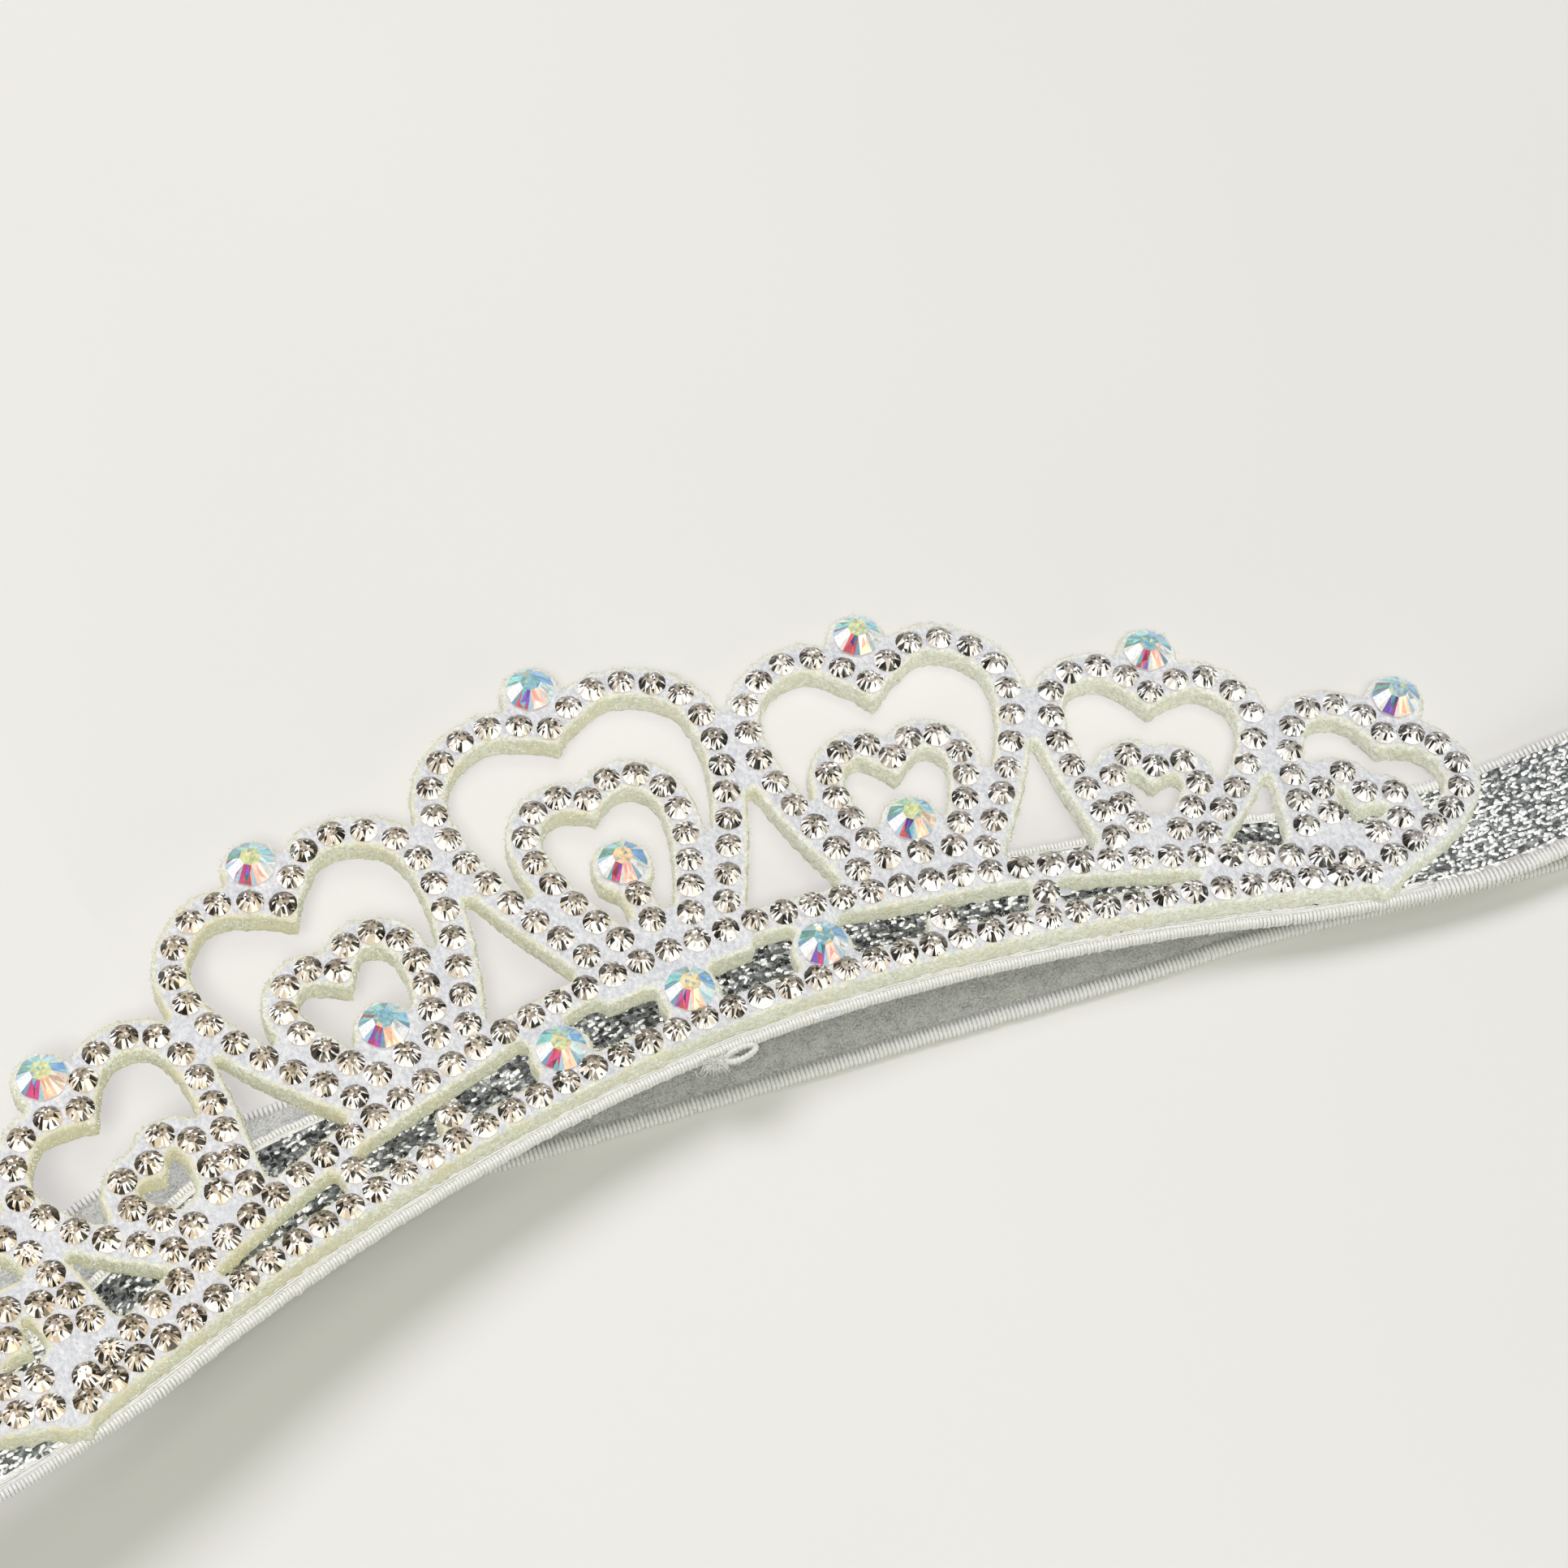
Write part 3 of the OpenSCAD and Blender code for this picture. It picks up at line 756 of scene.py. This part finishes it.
def large_stones():
    """The coated stones, each a piece of its own."""
    draw = random.Random(31)
    for node in sorted(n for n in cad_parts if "_stone_" in n):
        x, y = centres(node)[0]
        points, faces, kinds, middles = cut(*LARGE_CUT, draw)
        turn = GEM_TURN + draw.gauss(0, 0.06)
        table = draw.choice(TABLES)
        picks = [draw.choice((0, 0, 1, 2, 3)) for _ in COATED]
        spin = np.array(Matrix.Rotation(turn, 3, "Z"))
        at = to_surface(points @ (spin * GEM_R).T + [x, y, SEAT])
        turned = middles @ spin[:2, :2].T
        tints = [coated(k, m, draw, table, picks) for (k, _), m in zip(kinds, turned)]
        name = node.replace("stone", "gem")
        piece(name, at, faces, [GEM], "rainbow_stone", [node], smooth=False, tint=tints)


# Elastic

# Where the elastic runs, by shares of LOOP_SPAN and BAND_W: beyond the felt with its
# lift, behind the crown, and each bend's side, start, slope and drift
FRONT_ENDS = ((0.705, -1.09, 0.0), (0.775, -1.165, 0.0), (0.86, -1.19, 0.7))
BACK_ROUTE = (
    (0.82, -1.18), (0.553, -0.8), (0.41, -0.66), (0.225, -0.455), (-0.02, -0.2),
    (-0.193, -0.02), (-0.39, 0.21), (-0.57, 0.07), (-0.77, -0.5),
)
RIGHT_BEND = (1, -1.3, -0.05, -0.02)
LEFT_BEND = (-1, -1.2, 0.115, 0.2)
# Outer heights of the right and the left bend
BEND_LOW = 4.4
BEND_HIGH = 15.4
BEND_STEPS = 8
# Where the elastic leaves the felt, and the stations between
EDGE_X = RAIL_SPAN * 0.91
FRONT_STEPS = 18
# Steps to a span of the route, in front and behind
FRONT_FINE, BACK_FINE = 2, 3


def spline(a, b, c, d, steps):
    """Points of a smooth curve from b on to c, with a before them and d after."""
    square, cube = 2 * a - 5 * b + 4 * c - d, 3 * b - a - 3 * c + d
    times = [s / steps for s in range(steps)]
    return [0.5 * (2 * b + (c - a) * t + square * t * t + cube * t**3) for t in times]


def smooth(p, steps):
    """An open curve through the points, steps pieces to a span."""
    p = np.asarray(p, float)
    ends = np.concatenate([[2 * p[0] - p[1]], p, [2 * p[-1] - p[-2]]])
    out = []
    for i in range(len(p) - 1):
        out += spline(*ends[i : i + 4], steps)
    out.append(p[-1])
    return out


def bend(side, start, slope, drift, height):
    """Stations round one end of the loop, from its upper layer to its lower."""
    out = np.array([side, side * slope, 0.0])
    out /= np.linalg.norm(out)
    across = np.array([-out[1] * side, out[0] * side, 0.0])
    r = (height - BAND_T) / 2
    stations = []
    for i in range(BEND_STEPS + 1):
        a = math.pi * i / BEND_STEPS
        place = (
            np.array([side * LOOP_SPAN, BAND_W * start, height / 2])
            + out * r * math.sin(a)
            + across * BAND_W * drift * i / BEND_STEPS
            + [0, 0, r * math.cos(a)]
        )
        stations.append((place, out * math.sin(a) + [0, 0, math.cos(a)]))
    return stations


def band_route():
    """Middle line of the elastic and the way its outside faces, once round."""
    level = -GLUE_T - BAND_T / 2
    right = bend(*RIGHT_BEND, BEND_LOW)
    left = bend(*LEFT_BEND, BEND_HIGH)

    def facing(x, y, z):
        return to_surface([x, y, z]), CROWN_UP

    def beyond(side):
        return [
            facing(side * LOOP_SPAN * a, BAND_W * b, level + max(0, side) * lift)
            for a, b, lift in FRONT_ENDS
        ]

    def on_felt(x):
        return facing(x, rail_y(x, False) + BAND_W / 2 - INNER_RIM - BAND_PEEK, level)

    under = [on_felt(EDGE_X * (2 * i / FRONT_STEPS - 1)) for i in range(FRONT_STEPS + 1)]
    front = [left[0]] + beyond(-1)[::-1] + under + beyond(1) + [right[0]]
    down = np.array([0, 0, -1.0])
    behind = [(np.array([LOOP_SPAN * a, BAND_W * b, BAND_T / 2]), down) for a, b in BACK_ROUTE]
    back = [right[-1]] + behind + [left[-1]]
    return [
        np.array(
            smooth([s[k] for s in front], FRONT_FINE)
            + [s[k] for s in right[1:-1]]
            + smooth([s[k] for s in back], BACK_FINE)
            + [s[k] for s in left[-2:0:-1]]
        )
        for k in (0, 1)
    ]


def tangents(ring):
    """The way that a closed line runs at each of its points."""
    return unit(np.roll(ring, -1, 0) - np.roll(ring, 1, 0))


# Points of the fine line for each of the route
FINE_STEPS = 12


def band_frames(step):
    """Stations about every step millimetres round the loop: middle, across, outwards
    and along."""
    mid, out = band_route()
    n = len(mid)
    wide = unit(np.cross(out, tangents(mid)))
    fine, fine_wide = [], []
    for i in range(n):
        for source, sink in ((mid, fine), (wide, fine_wide)):
            sink += spline(*(source[(i + k) % n] for k in (-1, 0, 1, 2)), FINE_STEPS)
    fine, fine_wide = np.array(fine), np.array(fine_wide)
    far = distances(np.concatenate([fine, fine[:1]]))
    total = far[-1]
    count = int(round(total / step))
    at = np.arange(count) * total / count

    def read(values):
        ring = np.concatenate([values, values[:1]])
        return np.stack([np.interp(at, far, ring[:, k]) for k in range(3)], axis=1)

    place, across = read(fine), read(fine_wide)
    ahead = tangents(place)
    across = unit(across - ahead * np.sum(across * ahead, axis=1)[:, None])
    outward = np.cross(ahead, across)
    return place, across, outward, ahead


# Half width and half thickness of the band between its ribs, its step, how far the lower
# selvedge reaches in on the glitter and on the plush side, and the upper on both
HALF_W = BAND_W / 2 - 0.12
HALF_T = 0.42
BAND_STEP = 0.8
SELVEDGE_LOW = 1.4
PILE_LOW = 1.1
SELVEDGE_UP = 1.1
# How much wider the elastic lies behind the left hearts, where, and over what reach
WIDER, WIDER_X, WIDER_REACH = 2.8, -45.0, 13.0
# How far in the selvedge's darker base, painted shade under the ribs, reaches from the lower
# edge of the upper layer
SHADED_BASE_W = 0.6
# The upper layer faces up at least this much and is this far off the floor
FRONT_UP, FRONT_Z = 0.9, 3


def in_front(place, outward):
    """Which stations are of the upper layer, the one that runs under the felt."""
    return (outward @ CROWN_UP > FRONT_UP) & (place[:, 2] > FRONT_Z)


def spread(place, outward, u):
    """How far the elastic's upper half reaches on, where it lies wider behind the left
    hearts, for a place u across it at each station."""
    x = to_crown(place)[:, 0]
    more = WIDER * np.exp(-(((x - WIDER_X) / WIDER_REACH) ** 2)) * in_front(place, outward)
    return more * np.clip((u + HALF_W) / (2 * HALF_W), 0, 1)


def elastic():
    """The band itself: glitter ground outside, plush inside, thread at both edges."""
    place, across, outward, _ = band_frames(BAND_STEP)
    n = len(place)
    us = np.concatenate([[-1.0, -0.985], np.linspace(-0.96, 0.96, 17), [0.985, 1.0]]) * HALF_W
    shape = [(u, HALF_T * (0.6 if abs(u) == HALF_W else 1)) for u in us]
    shape += [(u, -v) for u, v in reversed(shape)]
    m = len(shape)
    ring = np.array(shape)
    wide = np.stack([u + spread(place, outward, u) for u, _ in shape], axis=1)
    flat = place[:, None] + across[:, None] * wide[:, :, None]
    points = (flat + outward[:, None] * ring[None, :, 1:]).reshape(-1, 3)
    faces, index = [], []
    front = in_front(place, outward)
    for i in range(n):
        for k in range(m):
            a, b = i * m, ((i + 1) % n) * m
            faces.append((a + k, a + (k + 1) % m, b + (k + 1) % m, b + k))
            u, v = (ring[k] + ring[(k + 1) % m]) / 2
            low = SELVEDGE_LOW if v > 0 else PILE_LOW
            edge = u < -HALF_W + low or u > HALF_W - SELVEDGE_UP
            bare = front[i] and u > -HALF_W + SHADED_BASE_W
            # The selvedges are white where bare and elsewhere have a darker base, painted shade
            # under the ribs
            if edge:
                index.append(2 if bare else 3)
            else:
                index.append(0 if v > 0 else 1)
    return piece(
        "elastic_band", points, faces, [GROUND, PLUSH, SELVEDGE, SHADED_BASE], "elastic",
        ["elastic_loop"], index=index,
    )


def tube(path, radii, sides, flat, across):
    """A closed rod of flattened section round a path. across is its wide direction."""
    path, across = np.asarray(path), np.asarray(across)
    ahead = np.gradient(path, axis=0)
    normal = np.cross(ahead, across)
    normal /= np.linalg.norm(normal, axis=1)[:, None] + 1e-9
    angle = (2 * np.pi * np.arange(sides) / sides)[:, None]
    ring = across[:, None] * np.cos(angle) + normal[:, None] * np.sin(angle) * flat
    points = (path[:, None] + np.asarray(radii)[:, None, None] * ring).reshape(-1, 3)
    faces = []
    for j in range(len(path) - 1):
        for k in range(sides):
            a, b, c = j * sides, (j + 1) * sides, (k + 1) % sides
            faces.append((a + k, a + c, b + c, b + k))
    faces.append(tuple(range(sides))[::-1])
    faces.append(tuple((len(path) - 1) * sides + k for k in range(sides)))
    return points, faces


def joined(parts):
    """Points and faces of several (points, faces) pairs as one."""
    points, faces, base = [], [], 0
    for p, f in parts:
        points.append(p)
        faces += [tuple(i + base for i in face) for face in f]
        base += len(p)
    return np.concatenate(points), faces


# Pitch of the ribs, how far they reach in from the lower and the upper edge, and whether
# they are of the upper layer
RIBS = ((0.44, 1.3, 1.0, False), (0.36, 0.62, 0.85, True))
# A rib's thickness along it, as a share of the pitch
RIB_THICK = (0.42, 0.58, 0.62, 0.62, 0.62, 0.58, 0.42)
# Painted shade round a rib: darker where it meets the next
RIB_CREASE_SHADE = (0.58, 1.0, 1.0, 0.58, 1.0, 1.0)


def selvedges():
    """Ribs of thread that wrap both edges of the elastic."""
    draw = np.random.default_rng(11)
    parts = []
    for pitch, low, up, front in RIBS:
        place, across, outward, ahead = band_frames(pitch)
        for sign, deep in ((-1, low), (1, up)):
            over = [(deep, HALF_T - 0.04), (deep * 0.5, HALF_T + 0.03), (0.12, HALF_T + 0.02)]
            path = over + [(-0.05, 0.0)] + [(a, -b) for a, b in over[::-1]]
            thick = np.array(RIB_THICK) * pitch
            flat = 0.4 if sign > 0 else 1.0 if front else 0.8
            wider = spread(place, outward, sign * HALF_W)
            for i in np.where(in_front(place, outward) == front)[0]:
                push = draw.normal(0, 0.04) + wider[i]
                spine = [
                    place[i]
                    + across[i] * (sign * (HALF_W - inward) + push)
                    + outward[i] * level
                    for inward, level in path
                ]
                wide = [ahead[i]] * len(path)
                parts.append(tube(spine, thick, len(RIB_CREASE_SHADE), flat, wide))
    points, faces = joined(parts)
    tint = [RIB_CREASE_SHADE[i % len(RIB_CREASE_SHADE)] for f in faces for i in f]
    return piece("selvedge_ribs", points, faces, [RIBBED], "elastic", tint=tint)


# The fine threads: how far in from the edge, and radius
CORDS = ((0.72, 0.1), (0.92, 0.12), (1.15, 0.1))
CORD_STEP = 0.5


def edge_cords():
    """Fine threads that run along the lower edge of the elastic's upper layer."""
    place, across, outward, _ = band_frames(CORD_STEP)
    under = in_front(place, outward)
    far = int(np.argmin(under))
    order = np.roll(np.arange(len(place)), -far)
    # The longest run of its stations
    runs = np.split(order, np.where(np.diff(under[order].astype(int)))[0] + 1)
    keep = max(runs, key=lambda run: len(run) * under[run[0]])
    parts = []
    for row, (u, r) in enumerate(CORDS):
        wave = [noise.noise(Vector((i * 0.11, row * 7.1, 0))) * 0.12 for i in range(len(keep))]
        spine = (
            place[keep]
            + across[keep] * (-HALF_W + u + np.array(wave))[:, None]
            + outward[keep] * (HALF_T + 0.02)
        )
        parts.append(tube(spine, [r] * len(keep), 6, 0.8, across[keep]))
    return piece("edge_cords", *joined(parts), [SELVEDGE], "elastic")


# The pulled loop: its middle in the crown's frame, half sizes and stations
FRAY = (2.4, -7.2)
FRAY_LONG, FRAY_HIGH = 1.6, 0.6
FRAY_STEPS = 132
# Its tail: how far beside that middle, heights and radii
TAIL = ((-2.2, 0.4, -0.4), (-2.1, 0.0, -0.35), (-1.9, -0.4, -0.4), (-1.8, -0.8, -0.5))
TAIL_R = (0.3, 0.28, 0.22, 0.12)
# Loose fibres: how many, and their radii along them
FIBRES = 260
FIBRE_R = (0.045, 0.045, 0.04, 0.035, 0.015)


def frayed_loop():
    """A pulled loop of the edge with a tuft of loose fibres, below the middle heart."""
    draw = np.random.default_rng(23)
    x, y = FRAY
    turn = np.linspace(0.1, 2 * np.pi + 0.25, FRAY_STEPS)
    ring = (
        x + FRAY_LONG * np.cos(turn),
        y + FRAY_HIGH * np.sin(turn) + 0.1 * np.cos(turn),
        -0.3 - 0.1 * np.sin(turn),
    )
    spine = np.stack(ring, axis=1)
    beads = 0.27 + 0.12 * abs(np.sin(np.arange(FRAY_STEPS) * np.pi / 6))
    parts = [tube(spine, beads, 8, 0.8, [[0, 0, 1.0]] * FRAY_STEPS)]
    tail = [(x + dx, y + dy, z) for dx, dy, z in TAIL]
    parts.append(tube(tail, TAIL_R, 8, 0.8, [[0, 0, 1.0]] * len(tail)))
    for _ in range(FIBRES):
        root = np.array([x - 2.4, y + 0.3, -0.3]) + draw.normal(0, 0.3, 3) * [2.0, 0.6, 0.4]
        way = np.array([draw.normal(0.1, 0.6), -0.5, draw.normal(0, 0.2)])
        curl = draw.normal(0, 0.6, 3) * [1, 1, 0.3]
        t = np.linspace(0, 1, len(FIBRE_R))[:, None]
        fibre = root + way * t * draw.uniform(0.3, 1.1) + curl * t**2
        parts.append(tube(fibre, FIBRE_R, 4, 1.0, [[0, 0, 1.0]] * len(fibre)))
    points, faces = joined(parts)
    return piece("frayed_loop", to_surface(points), faces, [SELVEDGE], "elastic")


# Hairs of the plush side, their lengths and how thick they are
HAIRS = 26000
HAIR_LONG = (0.1, 0.26)
HAIR_THICK = 0.06


def plush_pile():
    """Short pile over the plush side of the elastic."""
    place, across, outward, ahead = band_frames(BAND_STEP)
    draw = np.random.default_rng(19)
    i = draw.integers(0, len(place), HAIRS)
    u = draw.uniform(-HALF_W + PILE_LOW, HALF_W - SELVEDGE_UP + 0.1, HAIRS)
    u += spread(place[i], outward[i], u)
    root = (
        place[i]
        + across[i] * u[:, None]
        + ahead[i] * draw.uniform(-BAND_STEP / 2, BAND_STEP / 2, HAIRS)[:, None]
        - outward[i] * HALF_T
    )
    way = -outward[i] + draw.normal(0, 0.9, (HAIRS, 3))
    way -= outward[i] * np.clip(np.sum(way * outward[i], axis=1) + 0.15, 0, None)[:, None]
    long = draw.uniform(*HAIR_LONG, HAIRS)
    pile = spikes(root, way, long, HAIR_THICK)
    return piece("plush_pile", *pile, [PILE], "elastic", smooth=False)


# Clear dried glue: place in the crown frame, half sizes and turn
DROPS = (
    (37.6, -5.67, SEAT, 0.8, 0.45, 0.16, -0.3),
    (-25.3, -3.17, SEAT, 0.7, 0.4, 0.14, 0.5),
    (-30.35, -5.47, SEAT, 0.7, 0.4, 0.14, 0.6),
    (11.8, -6.95, -0.2, 1.5, 0.3, 0.26, -0.12),
)
# Rings of a drop, the one at its foot, and points to a ring
RINGS, FOOT, ROUND = 9, 5, 24


def glue_drops():
    """Drops of dried glue on the felt and one on the elastic."""
    parts = []
    for x, y, z, a, b, c, turn in DROPS:
        ct, st = math.cos(turn), math.sin(turn)
        points, faces = [], []
        for j in range(RINGS):
            up = math.pi / 2 * (1 - j / FOOT)
            for k in range(ROUND):
                way = 2 * math.pi * k / ROUND
                r = math.cos(up) * (1 + 0.25 * noise.noise(Vector((x, y, way * 1.3))))
                px, py = a * r * math.cos(way), b * r * math.sin(way)
                high = z + c * math.sin(up) * (1 if up > 0 else 0.1)
                points.append((x + px * ct - py * st, y + px * st + py * ct, high))
        for j in range(0, (RINGS - 1) * ROUND, ROUND):
            for k in range(ROUND):
                n = (k + 1) % ROUND
                faces.append((j + k, j + ROUND + k, j + ROUND + n, j + n))
        faces.append(tuple((RINGS - 1) * ROUND + k for k in range(ROUND))[::-1])
        parts.append((to_surface(np.array(points)), faces))
    piece("glue_drops", *joined(parts), [GLUE], "felt")


# Rows of stitches, how far they stay from the selvedges, the share of stitches that is there,
# and how bright they are and how often, on the open elastic and under the felt, where painted
# shade darkens them
ROWS = 20
ROW_GAP = 0.15
THERE = 0.84
OPEN_TONES = ([0.15, 0.5, 0.9, 1.3], [0.1, 0.16, 0.2, 0.54])
SHADED_UNDER_TONES = ([0.02, 0.12, 0.5, 1.0], [0.3, 0.24, 0.14, 0.32])
SILVER = (1.0, 1.0, 0.98)
# One stitch: pitch along its row, outline by shares of its half length and half width,
# both ranges of these, and how far its middle rises and sinks
YARN_STEP = 0.55
STITCH = ((-1, 0), (-0.7, -1), (0.7, -1), (1, 0), (0.7, 1), (-0.7, 1))
STITCH_LONG, STITCH_WIDE = (0.25, 0.44), (0.15, 0.24)
STITCH_UP, STITCH_DOWN = 0.13, 0.1


def glitter():
    """Short flat stitches of metallic yarn over the outside of the elastic."""
    place, across, outward, ahead = band_frames(YARN_STEP)
    draw = np.random.default_rng(5)
    under = in_front(place, outward) & (abs(place[:, 0]) < EDGE_X)
    low, high = -HALF_W + SELVEDGE_LOW + ROW_GAP, HALF_W - SELVEDGE_UP - ROW_GAP
    ends = len(STITCH)
    points, tints = [], []
    for j, u in enumerate(np.linspace(low, high, ROWS)):
        i = np.where(draw.random(len(place)) < THERE)[0]
        column = (len(i), 1)
        wider = spread(place[i], outward[i], u)[:, None]
        centre = (
            place[i]
            + across[i] * (u + wider + draw.normal(0, 0.08, column))
            + ahead[i] * (draw.normal(0, 0.12, column) + (0.31 if j % 2 else 0))
            + outward[i] * (HALF_T + draw.uniform(0.0, 0.08, column))
        )
        yaw = draw.normal(0, 0.3, column) + (0.25 if j % 2 else -0.25)
        along = ahead[i] * np.cos(yaw) + across[i] * np.sin(yaw)
        side = across[i] * np.cos(yaw) - ahead[i] * np.sin(yaw)
        roll = draw.normal(0, 0.4, column)
        up = outward[i] * np.cos(roll) + side * np.sin(roll)
        side = side * np.cos(roll) - outward[i] * np.sin(roll)
        long = draw.uniform(*STITCH_LONG, column)
        wide = draw.uniform(*STITCH_WIDE, column)
        stitch = [centre + along * long * a + side * wide * b for a, b in STITCH]
        stitch += [centre + up * STITCH_UP, centre - up * STITCH_DOWN]
        points.append(np.stack(stitch, axis=1).reshape(-1, 3))
        # Under the felt the stitches take the darker tones, as painted shade
        v, painted_shade = (draw.choice(a, column, p=p) for a, p in (OPEN_TONES, SHADED_UNDER_TONES))
        tone = np.where(under[i, None], painted_shade, v) * draw.uniform(0.5, 1.35, (len(i), 2 * ends))
        tints.append(np.minimum(tone, 1.0).ravel())
    points = np.concatenate(points)
    faces = []
    for a in range(0, len(points), len(stitch)):
        for k in range(ends):
            b = (k + 1) % ends
            faces += [(a + k, a + b, a + ends), (a + b, a + k, a + ends + 1)]
    tint = np.concatenate(tints)[:, None] * SILVER
    return piece("glitter_yarn", points, faces, [YARN], "elastic", smooth=False, tint=tint)


# Stage

# Where the photograph was taken from, as fitted to the places of its stones
EYE = Vector((-62.273, -113.064, 355.981)) * MM
RIGHT = Vector((0.90269, -0.42743, 0.04942))
UP = Vector((0.37487, 0.83763, 0.3973))
AHEAD = Vector((0.21121, 0.34011, -0.91636))
LENS = 89.44
# Colours of the light: the window's is bluer, which leaves its shadows a little green
ROOM = (0.985, 1.0, 0.93)
DAY = (0.93, 0.905, 1.0)
# Strength of the light from all round
WORLD = 0.265
# Each lamp's place and size in metres, watts and colour
FRONT = ((-0.28, -0.44, 1.19), 0.3, 4.9, ROOM)
OVERHEAD = ((0.0, -0.05, 1.4), 0.5, 2.1, ROOM)
WINDOW = ((-0.312, 0.683, 1.062), 0.6, 11.4, DAY)
FILL = ((0.45, -1.0, 0.45), 0.9, 4.7, ROOM)
# Half the floor's width, in metres
FLOOR = 1.5


def camera():
    """The photograph's view."""
    data = bpy.data.cameras.new("view")
    data.lens = LENS
    data.sensor_width = 36.0
    data.clip_start, data.clip_end = 0.01, 10.0
    cam = placed("view", data)
    turn = Matrix((RIGHT, UP, -AHEAD)).transposed()
    cam.matrix_world = Matrix.Translation(EYE) @ turn.to_4x4()
    bpy.context.scene.camera = cam


def light(name, place, size, watts, colour):
    """A round lamp that faces the middle of the floor."""
    data = bpy.data.lights.new(name, "AREA")
    data.shape = "DISK"
    data.size, data.energy, data.color = size, watts, colour
    lamp = placed(name, data)
    lamp.location = place
    lamp.rotation_mode = "QUATERNION"
    lamp.rotation_quaternion = (-Vector(place)).to_track_quat("-Z", "Y")
    return lamp


def stage(shading):
    """World, lamps and floor. shading are the pieces that throw the shadows."""
    world = bpy.data.worlds.new("studio")
    bpy.context.scene.world = world
    world.use_nodes = True
    back = world.node_tree.nodes["Background"]
    back.inputs["Color"].default_value = (*ROOM, 1.0)
    back.inputs["Strength"].default_value = WORLD
    light("front", *FRONT)
    light("overhead", *OVERHEAD)
    # Only the elastic throws the shadows of these two, as in the photograph
    thrown = bpy.data.collections.new("elastic_shadows")
    for obj in shading:
        thrown.objects.link(obj)
    for lamp in (light("window", *WINDOW), light("fill", *FILL)):
        lamp.light_linking.blocker_collection = thrown
    mesh = bpy.data.meshes.new("floor")
    corners = ((-1, -1), (1, -1), (1, 1), (-1, 1))
    mesh.from_pydata([(x * FLOOR, y * FLOOR, 0) for x, y in corners], [], [(0, 1, 2, 3)])
    mesh.materials.append(floor_finish())
    floor = placed("floor", mesh)
    bpy.context.scene.view_settings.view_transform = "Standard"


# The scene

FELT = felt_finish()
NAP = nap_finish()
CLEAR = stone_finish("clear_facets", 0.25, 0.12, 0.12, 0.16)
GEM = stone_finish("rainbow_facets", 0.15, 0.1, 0.35, 0.06)
YARN = glitter_finish()
GROUND = ground_finish()
PLUSH = plush_finish()
PILE = pile_finish()
SELVEDGE = selvedge_finish("selvedge_white", (222, 221, 214), (236, 235, 230), (248, 247, 243))
RIBBED = selvedge_finish(
    "selvedge_ribbed", (230, 229, 223), (243, 242, 238), (254, 253, 250), ribbed=True
)
# A darker selvedge base, painted shade between the ribs
SHADED_BASE = selvedge_finish("selvedge_shaded_base", (186, 181, 169), (202, 198, 188), (216, 213, 204))
GLUE = glue_finish()
nap(*felt())
small_stones("outline_brilliants", centres("outline_stones"), ["outline_stones"])
small_stones("inner_brilliants", centres("inner_stones"), ["inner_stones"])
small_stones("rail_brilliants", rail_places())
large_stones()
band = elastic()
trim = [selvedges(), edge_cords(), frayed_loop(), plush_pile(), glitter()]
glue_drops()
camera()
stage([band, *trim])
